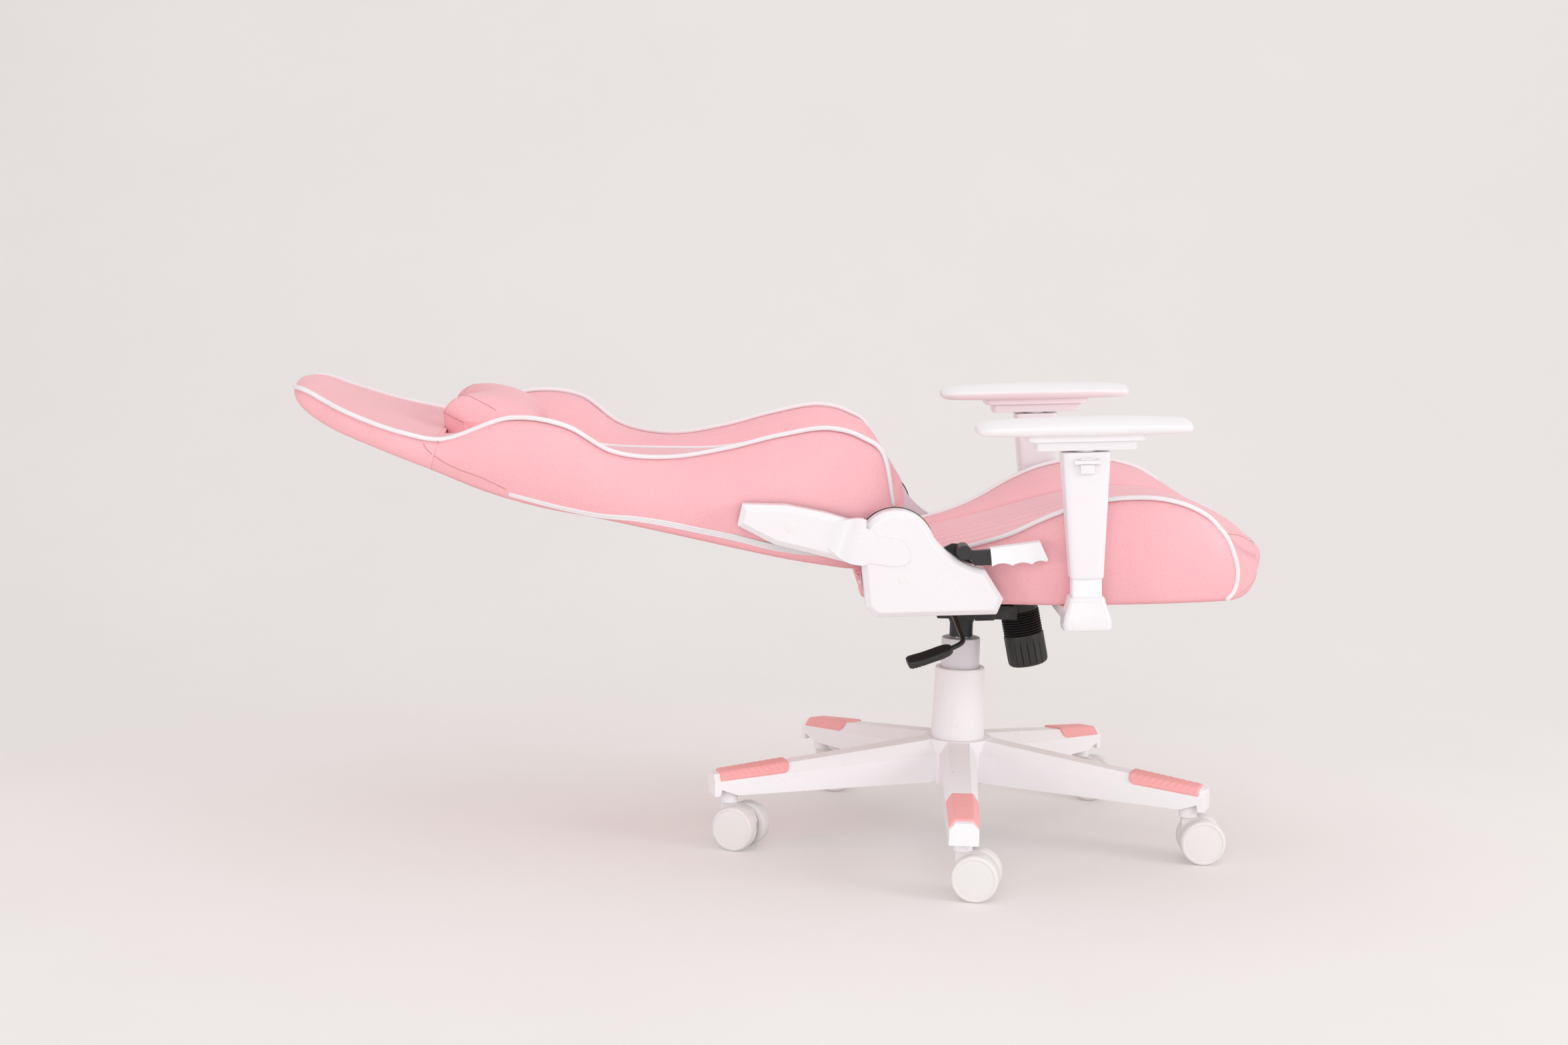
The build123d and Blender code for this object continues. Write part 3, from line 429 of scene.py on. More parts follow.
def axis_at(origin: Sequence[float], way: Vector) -> Matrix:
    """Return a matrix at a point in millimetres whose Z points along a direction."""
    turn = way.normalized().to_track_quat("Z", "Y").to_matrix().to_4x4()
    return Matrix.Translation(Vector(origin) * MM) @ turn


ROUND_FROM = math.radians(28.0)


def rounded(node: str, name: str, paint: Paint, width: float, segments: int = 2) -> Piece:
    """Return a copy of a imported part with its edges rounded.

    Args:
        node: The part's name.
        name: The new piece's name.
        paint: Its material.
        width: Width of the rounding in millimetres.
        segments: Steps of the rounding.

    Returns:
        The object, which stands for the part.
    """
    bm = bmesh.new()
    bm.from_mesh(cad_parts[node].data)
    bmesh.ops.remove_doubles(bm, verts=bm.verts, dist=2e-6)
    bmesh.ops.dissolve_limit(bm, angle_limit=math.radians(0.4), verts=bm.verts, edges=bm.edges)
    sharp = [e for e in bm.edges if len(e.link_faces) == 2 and e.calc_face_angle(0.0) > ROUND_FROM]
    bmesh.ops.bevel(bm, geom=sharp, offset=width * MM, offset_type="OFFSET", segments=segments, profile=0.55,
                    affect="EDGES", clamp_overlap=True, loop_slide=True)
    mesh = bpy.data.meshes.new(name)
    bm.to_mesh(mesh)
    bm.free()
    mesh.materials.append(paint)
    mesh.shade_smooth()
    mesh.set_sharp_from_angle(angle=math.radians(40))
    piece = linked(name, mesh)
    even_light = piece.modifiers.new("Even light", "WEIGHTED_NORMAL")
    even_light.keep_sharp = True
    plain(piece)
    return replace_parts(piece, node)


def dressed(nodes: Iterable[str], paint: Paint) -> None:
    """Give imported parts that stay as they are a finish."""
    for node in nodes:
        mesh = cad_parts[node].data
        mesh.materials.clear()
        mesh.materials.append(paint)


class Skin:
    """Answers where straight lines meet finished pieces."""

    def __init__(self, *pieces: Piece) -> None:
        """Gather the pieces' faces."""
        points, faces = [], []
        for piece in pieces:
            start = len(points)
            points += [v.co.copy() for v in piece.data.vertices]
            faces += [[start + i for i in p.vertices] for p in piece.data.polygons]
        self.tree = BVHTree.FromPolygons(points, faces)

    def lay(self, starts: np.ndarray, way: Vector, lift: float) -> tuple[np.ndarray, np.ndarray]:
        """Lay points on the pieces.

        Args:
            starts: Points in metres to look from.
            way: The direction to look in.
            lift: How far the points stand off the surface, in metres.

        Returns:
            The points on the surface and its normals there.
        """
        spots, ups = [], []
        for start in starts:
            spot, up, _, _ = self.tree.ray_cast(Vector(start), way.normalized())
            if spot is None:
                continue
            if up.dot(way) > 0:
                up = -up
            spots.append(np.array(spot + up * lift))
            ups.append(np.array(up))
        return np.array(spots), np.array(ups)


# Shader groups and finishes

def tone(red: int, green: int, blue: int) -> Rgba:
    """Return a screen colour as a linear one."""
    def one(v: int) -> float:
        """Return one channel."""
        c = v / 255
        return c / 12.92 if c <= 0.04045 else ((c + 0.055) / 1.055) ** 2.4
    return (one(red), one(green), one(blue), 1.0)


class Wiring:
    """Adds nodes to a tree and links them."""

    def __init__(self, tree: Tree) -> None:
        """Work on one tree."""
        self.tree = tree

    def node(self, kind: str, **fields: object) -> Node:
        """Return a new node with its settings made."""
        made = self.tree.nodes.new(kind)
        for key, value in fields.items():
            setattr(made, key, value)
        return made

    def feed(self, socket: Socket, value: object) -> None:
        """Link an output to a socket, or set the socket's own value."""
        if isinstance(value, Socket):
            self.tree.links.new(value, socket)
        else:
            socket.default_value = value

    def plug(self, made: Node, **values: object) -> Node:
        """Feed a node's inputs by name, with _ for a space, and return the node."""
        for title, value in values.items():
            self.feed(made.inputs[title.replace("_", " ")], value)
        return made

    def put(self, kind: str, **values: object) -> Node:
        """Return a new node with its inputs fed."""
        return self.plug(self.node(kind), **values)

    def sum(self, kind: str, a: object, b: object = 0.0, clamp: bool = False) -> Socket:
        """Return the result of a Math node."""
        made = self.node("ShaderNodeMath", operation=kind, use_clamp=clamp)
        self.feed(made.inputs[0], a)
        self.feed(made.inputs[1], b)
        return made.outputs[0]

    def span(self, value: object, low: float, high: float, to_low: object, to_high: object) -> Socket:
        """Return a value carried from one range to another."""
        made = self.node("ShaderNodeMapRange")
        for place, item in enumerate((value, low, high, to_low, to_high)):
            self.feed(made.inputs[place], item)
        return made.outputs[0]

    def mix(self, share: object, a: object, b: object) -> Socket:
        """Return a mix of two colours."""
        made = self.node("ShaderNodeMix", data_type="RGBA")
        self.feed(made.inputs[0], share)
        self.feed(made.inputs[6], a)
        self.feed(made.inputs[7], b)
        return made.outputs[2]

    def noise(self, where: object, scale: object, detail: float = 2.0, rough: float = 0.5) -> Socket:
        """Return a noise value."""
        made = self.put("ShaderNodeTexNoise", Vector=where, Scale=scale, Detail=detail, Roughness=rough)
        return made.outputs["Fac"]

    def relief(self, height: object, strength: float, depth: float) -> Socket:
        """Return the normal of a bump."""
        made = self.put("ShaderNodeBump", Strength=strength, Distance=depth, Height=height)
        return made.outputs["Normal"]

    def place(self) -> Socket:
        """Return the place on the piece in its own frame."""
        return self.node("ShaderNodeTexCoord").outputs["Object"]


Sockets = Sequence[tuple[str, str, object]]
Given = Mapping[str, Socket]
Fill = Callable[[Wiring, Given, Node], None]
FLOAT, COLOUR = "NodeSocketFloat", "NodeSocketColor"
PINK = (0.9, 0.5, 0.5, 1.0)


def node_group(kind: str, name: str, inputs: Sockets, outputs: Sequence[tuple[str, str]]
               ) -> Callable[[Fill], Callable[[], Tree]]:
    """Turn a function that adds nodes into one that returns them as a group, built once.

    Args:
        kind: The kind of tree.
        name: The group's name.
        inputs: Its inputs as (name, socket kind, value).
        outputs: Its outputs as (name, socket kind).

    Returns:
        The decorator.
    """
    def decorate(fill: Fill) -> Callable[[], Tree]:
        """Wrap the function that adds the nodes."""
        def group() -> Tree:
            """Return the group."""
            found = bpy.data.node_groups.get(name)
            if found:
                return found
            tree = bpy.data.node_groups.new(name, kind)
            for title, socket, value in inputs:
                made = tree.interface.new_socket(title, in_out="INPUT", socket_type=socket)
                if value is not None:
                    made.default_value = value
            for title, socket in outputs:
                tree.interface.new_socket(title, in_out="OUTPUT", socket_type=socket)
            w = Wiring(tree)
            fill(w, w.node("NodeGroupInput").outputs, w.node("NodeGroupOutput"))
            return tree
        return group
    return decorate


def shader_group(name: str, inputs: Sockets, outputs: Sequence[tuple[str, str]]
                 ) -> Callable[[Fill], Callable[[], Tree]]:
    """Return the decorator of a shader group."""
    return node_group("ShaderNodeTree", name, inputs, outputs)


@shader_group("Pebbled grain", [("Scale", FLOAT, 900.0)], [("Height", FLOAT), ("Pits", FLOAT)])
def pebble_group(w: Wiring, given: Given, out: Node) -> None:
    """Add the fine pebbled grain of coated leather."""
    where = w.place()
    cells = w.plug(w.node("ShaderNodeTexVoronoi", feature="SMOOTH_F1"), Vector=where, Scale=given["Scale"])
    pore = w.noise(where, w.sum("MULTIPLY", given["Scale"], 0.35), 3.0, 0.6)
    dome = w.sum("SUBTRACT", 1.0, cells.outputs["Distance"])
    w.plug(out, Height=w.sum("ADD", dome, w.sum("MULTIPLY", pore, 0.6)),
           Pits=w.span(cells.outputs["Distance"], 0.35, 0.75, 0.0, 1.0))


@shader_group("Shade drift", [("Light", COLOUR, PINK), ("Deep", COLOUR, PINK), ("Scale", FLOAT, 6.0)],
              [("Colour", COLOUR)])
def mottle_group(w: Wiring, given: Given, out: Node) -> None:
    """Add a soft drift between two close shades."""
    share = w.span(w.noise(w.place(), given["Scale"], 4.0, 0.55), 0.32, 0.7, 0.0, 1.0)
    w.plug(out, Colour=w.mix(share, given["Light"], given["Deep"]))


@shader_group("Sewn shade", [("Colour", COLOUR, PINK), ("Shade", COLOUR, PINK), ("Amount", FLOAT, 0.3)],
              [("Colour", COLOUR)])
def sewn_group(w: Wiring, given: Given, out: Node) -> None:
    """Add painted shade beside sewn lines, where the seams draw the cover in, from the sewn attribute."""
    near = w.node("ShaderNodeAttribute", attribute_name="sewn").outputs["Fac"]
    share = w.sum("MULTIPLY", w.sum("POWER", near, 2.0), given["Amount"])
    w.plug(out, Colour=w.mix(share, given["Colour"], given["Shade"]))


@shader_group("Rubbed edges", [("Colour", COLOUR, PINK), ("Worn", COLOUR, PINK), ("Amount", FLOAT, 0.5)],
              [("Colour", COLOUR), ("Mask", FLOAT)])
def rubbed_group(w: Wiring, given: Given, out: Node) -> None:
    """Add rubbed edges: corners that stand out take a second shade in patches."""
    edge = w.span(w.node("ShaderNodeNewGeometry").outputs["Pointiness"], 0.52, 0.62, 0.0, 1.0)
    patch = w.span(w.noise(w.place(), 45.0, 3.0), 0.42, 0.62, 0.0, 1.0)
    mask = w.sum("MULTIPLY", w.sum("MULTIPLY", edge, patch), given["Amount"], clamp=True)
    w.plug(out, Colour=w.mix(mask, given["Colour"], given["Worn"]), Mask=mask)


@shader_group("Handled gloss", [("Low", FLOAT, 0.3), ("High", FLOAT, 0.5), ("Scale", FLOAT, 14.0)],
              [("Gloss", FLOAT)])
def handled_group(w: Wiring, given: Given, out: Node) -> None:
    """Add uneven gloss from hands and cleaning."""
    smear = w.noise(w.place(), given["Scale"], 5.0, 0.6)
    w.plug(out, Gloss=w.span(smear, 0.3, 0.7, given["Low"], given["High"]))


@shader_group("Punched holes", [("Pitch", FLOAT, 0.0042)], [("Holes", FLOAT)])
def punched_group(w: Wiring, given: Given, out: Node) -> None:
    """Add staggered punched holes that follow the piece's own map in metres."""
    split = w.put("ShaderNodeSeparateXYZ", Vector=w.node("ShaderNodeTexCoord").outputs["UV"])
    down = w.sum("DIVIDE", split.outputs["Y"], given["Pitch"])
    shift = w.sum("MULTIPLY", w.sum("MODULO", w.sum("FLOOR", down), 2.0), 0.5)
    over = w.sum("ADD", w.sum("DIVIDE", split.outputs["X"], given["Pitch"]), shift)
    dx, dy = (w.sum("ABSOLUTE", w.sum("SUBTRACT", w.sum("FRACT", part), 0.5)) for part in (over, down))
    far = w.sum("SQRT", w.sum("ADD", w.sum("POWER", dx, 2.0), w.sum("POWER", dy, 2.0)))
    w.plug(out, Holes=w.span(far, 0.14, 0.22, 1.0, 0.0))


def placed(w: Wiring, tree: Tree, **values: object) -> Node:
    """Return a group placed in a material with its own values."""
    return w.plug(w.node("ShaderNodeGroup", node_tree=tree), **values)


def fresh(name: str) -> tuple[Paint, Wiring, Node]:
    """Return a new material, its wiring and its shader."""
    paint = bpy.data.materials.new(name)
    paint.use_nodes = True
    w = Wiring(paint.node_tree)
    return paint, w, paint.node_tree.nodes["Principled BSDF"]


@dataclass(frozen=True)
class Leather:
    """Coated leather with a pebbled grain, and punched holes where a pitch is given; its seam colour is
    painted shade beside the seams, in the grain's pits and inside the holes.
    """

    name: str
    light: Rgba
    deep: Rgba
    # Painted shade colour: mixed in beside the seams, in the grain's pits and inside the punched holes.
    seam: Rgba
    low: float = 0.42
    high: float = 0.56
    grain: float = 850.0
    bump: float = 0.22
    punched: float = 0.0

    def material(self) -> Paint:
        """Return the finish as a material."""
        paint, w, shader = fresh(self.name)
        drift = placed(w, mottle_group(), Light=self.light, Deep=self.deep, Scale=5.0)
        # Painted shade beside the seams, from the sewn attribute.
        sewn = placed(w, sewn_group(), Colour=drift.outputs["Colour"], Shade=self.seam, Amount=0.45)
        grain = placed(w, pebble_group(), Scale=self.grain)
        # Painted shade in the grain's pits.
        colour = w.mix(w.sum("MULTIPLY", grain.outputs["Pits"], 0.25), sewn.outputs["Colour"], self.seam)
        height = grain.outputs["Height"]
        if self.punched:
            holes = placed(w, punched_group(), Pitch=self.punched).outputs["Holes"]
            # Painted shade inside the punched holes.
            colour = w.mix(w.sum("MULTIPLY", holes, 0.55), colour, self.seam)
            height = w.sum("SUBTRACT", height, w.sum("MULTIPLY", holes, 3.0))
        gloss = placed(w, handled_group(), Low=self.low, High=self.high, Scale=11.0)
        w.plug(shader, Base_Color=colour, Roughness=gloss.outputs["Gloss"],
               Normal=w.relief(height, self.bump, 0.0003), Sheen_Weight=0.06, Specular_IOR_Level=0.38)
        return paint


@dataclass(frozen=True)
class Moulded:
    """Moulded plastic, rubber or painted metal: fine skin texture, rubbed edges and uneven gloss."""

    name: str
    colour: Rgba
    worn: Rgba
    low: float = 0.26
    high: float = 0.38
    skin: float = 1400.0
    bump: float = 0.08
    wear: float = 0.35
    metal: float = 0.0
    coat: float = 0.0

    def material(self) -> Paint:
        """Return the finish as a material."""
        paint, w, shader = fresh(self.name)
        deep = tuple(c * 0.98 for c in self.colour[:3]) + (1.0,)
        drift = placed(w, mottle_group(), Light=self.colour, Deep=deep, Scale=7.0)
        rubbed = placed(w, rubbed_group(), Colour=drift.outputs["Colour"], Worn=self.worn, Amount=self.wear)
        gloss = placed(w, handled_group(), Low=self.low, High=self.high, Scale=16.0)
        dulled = w.sum("MULTIPLY", rubbed.outputs["Mask"], 0.12)
        rough = w.sum("ADD", gloss.outputs["Gloss"], dulled, clamp=True)
        skin_height = w.noise(w.place(), self.skin, 3.0, 0.55)
        w.plug(shader, Base_Color=rubbed.outputs["Colour"], Roughness=rough, Metallic=self.metal,
               Normal=w.relief(skin_height, self.bump, 0.0002), Coat_Weight=self.coat)
        return paint


@dataclass(frozen=True)
class Twisted:
    """Thread or woven tape with a fine twist along the piece."""

    name: str
    colour: Rgba
    dark: Rgba
    scale: float = 1800.0

    def material(self) -> Paint:
        """Return the finish as a material."""
        paint, w, shader = fresh(self.name)
        wave = w.node("ShaderNodeTexWave", bands_direction="DIAGONAL")
        twist = w.plug(wave, Vector=w.place(), Scale=self.scale, Distortion=1.5).outputs["Fac"]
        w.plug(shader, Base_Color=w.mix(w.sum("MULTIPLY", twist, 0.5), self.colour, self.dark),
               Roughness=w.span(twist, 0.0, 1.0, 0.6, 0.8), Normal=w.relief(twist, 0.3, 0.0002),
               Sheen_Weight=0.15)
        return paint


class Finishes:
    """Every finish of the chair as a material."""

    def __init__(self) -> None:
        """Mix all the finishes."""
        # The fourth colour of each leather is its painted shade, beside seams, in grain pits and in punched
        # holes.
        seam = tone(216, 134, 144)
        self.pink = Leather("Pink coated leather", tone(251, 189, 196), tone(248, 183, 190), seam).material()
        self.panel = Leather("Punched panel leather", tone(251, 199, 206), tone(247, 193, 200),
                             tone(224, 160, 170), low=0.5, high=0.64, punched=0.0042).material()
        self.piping = Leather("White piping", tone(243, 240, 242), tone(238, 234, 237), tone(224, 214, 218),
                              low=0.34, high=0.46, grain=1300.0, bump=0.12).material()
        self.arm_pad = Leather("White arm pad skin", tone(246, 243, 245), tone(242, 239, 241),
                               tone(232, 226, 230), low=0.36, high=0.48, grain=1500.0, bump=0.10).material()
        self.white = Moulded("White moulded nylon", tone(250, 248, 251), tone(240, 237, 240)).material()
        self.gloss = Moulded("White gloss cover", tone(241, 238, 241), tone(238, 235, 238), low=0.24,
                             high=0.28, bump=0.03, wear=0.15, coat=0.15).material()
        self.wheel = Moulded("White wheel", tone(239, 236, 235), tone(208, 203, 200), low=0.34, high=0.48,
                             wear=0.5).material()
        self.lilac = Moulded("Lilac cover", tone(228, 226, 232), tone(212, 210, 217), low=0.32,
                             high=0.44).material()
        self.ivory = Moulded("Pale cap", tone(241, 237, 238), tone(228, 223, 222), low=0.3,
                             high=0.4).material()
        self.coral = Moulded("Coral soft pad", tone(253, 178, 178), tone(247, 164, 166), low=0.46, high=0.6,
                             skin=900.0, bump=0.2).material()
        self.black = Moulded("Black plastic", tone(42, 40, 41), tone(74, 72, 72), low=0.4, high=0.55,
                             bump=0.18, skin=1100.0).material()
        self.steel = Moulded("Black painted steel", tone(34, 33, 34), tone(96, 94, 94), low=0.34, high=0.5,
                             bump=0.14, wear=0.6).material()
        self.rubber = Moulded("Black bellows rubber", tone(28, 27, 28), tone(52, 50, 50), low=0.5, high=0.66,
                              bump=0.12).material()
        self.bright = Moulded("Bright steel", tone(196, 196, 198), tone(226, 226, 226), low=0.22, high=0.36,
                              metal=1.0, bump=0.05).material()
        self.board = Twisted("Plain plywood", tone(208, 174, 132), tone(182, 146, 106),
                             scale=140.0).material()
        self.thread = Twisted("Pink thread", tone(246, 206, 211), tone(236, 182, 189)).material()
        self.pale = Twisted("Pale thread", tone(246, 226, 229), tone(238, 204, 209)).material()
        # Dark pink lines along the seams are painted shade in the seam creases; the dashed stitches along the
        # seat's front foot take the same dark thread.
        self.groove = Twisted("Dark seam thread", tone(214, 136, 146), tone(190, 110, 122)).material()


# Geometry node trees

def mesh_tree(name: str, inputs: Sockets) -> Callable[[Fill], Callable[[], Tree]]:
    """Return the decorator of a geometry tree with a mesh and a finish among its inputs."""
    mesh, finish = "NodeSocketGeometry", ("Finish", "NodeSocketMaterial", None)
    return node_group("GeometryNodeTree", name, [("Geometry", mesh, None), *inputs, finish],
                      [("Geometry", mesh)])


def set_out(w: Wiring, given: Given, out: Node, **values: object) -> None:
    """Put out copies on points as realised, painted geometry."""
    copies = w.put("GeometryNodeInstanceOnPoints", **values).outputs["Instances"]
    real = w.put("GeometryNodeRealizeInstances", Geometry=copies)
    paint = w.put("GeometryNodeSetMaterial", Geometry=real.outputs["Geometry"], Material=given["Finish"])
    w.plug(out, Geometry=paint.outputs["Geometry"])


@mesh_tree("Stitch run", [("Pitch", FLOAT, 0.005), ("Stitch", FLOAT, 0.0034), ("Thickness", FLOAT, 0.0009)])
def stitch_tree(w: Wiring, given: Given, out: Node) -> None:
    """Sew a row of thread stitches along paths."""
    path = w.put("GeometryNodeMeshToCurve", Mesh=given["Geometry"]).outputs["Curve"]
    spaced = w.plug(w.node("GeometryNodeResampleCurve", mode="LENGTH"), Curve=path, Length=given["Pitch"])
    bead = w.put("GeometryNodeMeshUVSphere", Segments=6, Rings=5, Radius=0.5)
    turn = w.plug(w.node("FunctionNodeAlignRotationToVector", axis="Z"),
                  Vector=w.node("GeometryNodeInputTangent").outputs["Tangent"])
    size = w.put("ShaderNodeCombineXYZ", X=given["Thickness"], Y=given["Thickness"], Z=given["Stitch"])
    set_out(w, given, out, Points=spaced.outputs["Curve"], Instance=bead.outputs["Mesh"],
            Rotation=turn.outputs["Rotation"], Scale=size.outputs["Vector"])


@mesh_tree("Crown of copies", [("Count", "NodeSocketInt", 5), ("Start", FLOAT, 0.0)])
def crown_tree(w: Wiring, given: Given, out: Node) -> None:
    """Set copies of the tree's own mesh round the Z axis."""
    step = w.sum("DIVIDE", 2 * math.pi, given["Count"])
    angle = w.sum("ADD", w.sum("MULTIPLY", w.node("GeometryNodeInputIndex").outputs[0], step), given["Start"])
    euler = w.put("ShaderNodeCombineXYZ", Z=angle)
    turn = w.put("FunctionNodeEulerToRotation", Euler=euler.outputs["Vector"])
    spots = w.put("GeometryNodePoints", Count=given["Count"])
    set_out(w, given, out, Points=spots.outputs["Points"], Instance=given["Geometry"],
            Rotation=turn.outputs["Rotation"])


@mesh_tree("Stack of copies", [("Count", "NodeSocketInt", 11), ("Pitch", FLOAT, -0.004)])
def stack_tree(w: Wiring, given: Given, out: Node) -> None:
    """Stack copies of the tree's own mesh along Z."""
    step = w.put("ShaderNodeCombineXYZ", Z=given["Pitch"])
    row = w.put("GeometryNodeMeshLine", Count=given["Count"], Offset=step.outputs["Vector"])
    set_out(w, given, out, Points=row.outputs["Mesh"], Instance=given["Geometry"])


@mesh_tree("Parts on spots", [("Part", "NodeSocketObject", None)])
def spot_tree(w: Wiring, given: Given, out: Node) -> None:
    """Set one small part on every point."""
    part = w.put("GeometryNodeObjectInfo", Object=given["Part"])
    set_out(w, given, out, Points=given["Geometry"], Instance=part.outputs["Geometry"])


def grown(piece: Piece, tree: Tree, **values: object) -> Piece:
    """Run a geometry tree on a piece and keep the plain mesh.

    Args:
        piece: The piece that carries the input mesh.
        tree: The tree.
        values: Its inputs by name.

    Returns:
        The piece with the result as its mesh.
    """
    run = piece.modifiers.new(tree.name, "NODES")
    run.node_group = tree
    for item in tree.interface.items_tree:
        if getattr(item, "in_out", "") == "INPUT" and item.name in values:
            run[item.identifier] = values[item.name]
    piece.update_tag()
    plain(piece)
    if "Finish" in values:
        piece.data.materials.clear()
        piece.data.materials.append(values["Finish"])
        piece.data.polygons.foreach_set("material_index", np.zeros(len(piece.data.polygons), np.int32))
    piece.data.shade_smooth()
    return piece


def sewing(name: str, paths: Sequence[np.ndarray], paint: Paint, pitch: float, stitch: float,
           thick: float) -> Piece:
    """Return rows of stitches along paths.

    Args:
        name: The piece's name.
        paths: Lists of points in metres.
        paint: The thread.
        pitch: Stitch spacing in millimetres.
        stitch: Stitch length in millimetres.
        thick: Thread thickness in millimetres.

    Returns:
        The stitches as one plain mesh.
    """
    points, edges = [], []
    for path in paths:
        start = len(points)
        points += [tuple(p) for p in path]
        edges += [(start + i, start + i + 1) for i in range(len(path) - 1)]
    mesh = bpy.data.meshes.new(name)
    mesh.from_pydata(points, edges, [])
    piece = linked(name, mesh)
    return grown(piece, stitch_tree(), Pitch=pitch * MM, Stitch=stitch * MM, Thickness=thick * MM,
                 Finish=paint)


def spotted(name: str, spots: np.ndarray, part: Piece, paint: Paint) -> Piece:
    """Return a small part repeated on points, and remove the pattern part."""
    mesh = bpy.data.meshes.new(name)
    mesh.from_pydata([tuple(p) for p in spots], [], [])
    piece = linked(name, mesh)
    grown(piece, spot_tree(), Part=part, Finish=paint)
    piece.data.set_sharp_from_angle(angle=math.radians(35))
    bpy.data.objects.remove(part)
    return piece


# Upholstery

# Seam mask for painted seam shade and drawn-in seams, cloth run, then each filling's push and furthest move
# and each seam's depth and gathers
SEAM_SPREAD = 7.0
SEAM_FADE = 6.0
CLOTH_STEPS = 20
PANEL_FILLING, PANEL_SEAMS = (60.0, 1.6), (0.9, 0.25, 11.0)
SIDE_FILLING, SIDE_SEAMS = (60.0, 2.4), (0.5, 0.35, 15.0)
HEAD_FILLING, HEAD_SEAMS = (3.0, 2.0), (0.4, 0.3, 14.0)
PILLOW_FILLING, PILLOW_SEAMS = (60.0, 2.0), (0.4, 0.4, 12.0)
CLOTH = {"quality": 5, "mass": 0.25, "tension_stiffness": 25, "compression_stiffness": 25,
         "shear_stiffness": 12, "bending_stiffness": 1.5, "use_pressure": True}


@dataclass
class Cover:
    """One sewn cover as closed rings of points, before it is stuffed."""

    name: str
    rings: np.ndarray
    sewn: Sequence[int]
    held: Sequence[int]
    slope: Slope
    crisp: tuple[bool, bool] = (True, True)
    plain_from: float = 1e9

    def piece(self, paints: Sequence[Paint]) -> Piece:
        """Return the cover as a mesh with its seam, run and map data.

        Args:
            paints: Its materials.

        Returns:
            The object.
        """
        rows, ring = self.rings.shape[:2]
        made = skin(self.name, self.slope.world(self.rings), paints)
        hop = np.linalg.norm(np.roll(self.rings, -1, 1) - self.rings, axis=2)
        reach = np.concatenate([np.zeros((rows, 1)), np.cumsum(hop, axis=1)], axis=1)
        total = reach[:, -1:]
        gap = np.full((rows, ring), 1e9)
        for place in self.sewn:
            d = np.abs(reach[:, :-1] - reach[:, place:place + 1])
            gap = np.minimum(gap, np.minimum(d, total - d))
        run = np.repeat(self.rings[:, :, 0].mean(1)[:, None], ring, 1)
        near = np.exp(-(gap / SEAM_SPREAD) ** 2) * np.clip((self.plain_from - run) / SEAM_FADE, 0.0, 1.0)
        write(made, "sewn", np.concatenate([near.ravel(), [0, 0]]))
        write(made, "run", np.concatenate([run.ravel(), [run[0, 0], run[-1, 0]]]))
        self._map(made, reach, run[:, 0])
        self._crease(made, rows, ring)
        return made

    def _map(self, made: Piece, reach: np.ndarray, run: np.ndarray) -> None:
        """Store the map in metres: along the piece and round it."""
        rows, ring = self.rings.shape[:2]
        layer = made.data.uv_layers.new(name="Map")
        middle = reach[:, :-1].mean(1)
        for face in made.data.polygons:
            spots = [made.data.loops[i].vertex_index for i in face.loop_indices]
            wrap = len({s % ring for s in spots} & {0, ring - 1}) == 2
            for i, s in zip(face.loop_indices, spots):
                if s >= rows * ring:
                    end = 0 if s == rows * ring else -1
                    layer.data[i].uv = (run[end] * MM, middle[end] * MM)
                    continue
                r, c = divmod(s, ring)
                layer.data[i].uv = (run[r] * MM, reach[r, ring if wrap and c == 0 else c] * MM)

    def _crease(self, made: Piece, rows: int, ring: int) -> None:
        """Keep the end faces that meet the next cover crisp."""
        pairs = np.empty(len(made.data.edges) * 2, np.int32)
        made.data.edges.foreach_get("vertices", pairs)
        row = pairs.reshape(-1, 2) // ring
        first, last = (row == 0).all(1) & self.crisp[0], (row == rows - 1).all(1) & self.crisp[1]
        ends = (first | last) & (pairs.reshape(-1, 2) < rows * ring).all(1)
        for title, kind, values in (("crease_edge", "FLOAT", ends.astype(np.float32)),
                                    ("sharp_edge", "BOOLEAN", ends)):
            made.data.attributes.new(title, kind, "EDGE").data.foreach_set("value", values)

    def pins(self) -> np.ndarray:
        """Return how firmly each point is held."""
        rows, ring = self.rings.shape[:2]
        hold = np.zeros((rows, ring))
        hold[:, list(self.sewn)] = 1.0
        hold[:, list(self.held)] = 1.0
        hold[0], hold[-1] = 1.0, 1.0
        return np.concatenate([hold.ravel(), [1.0, 1.0]])


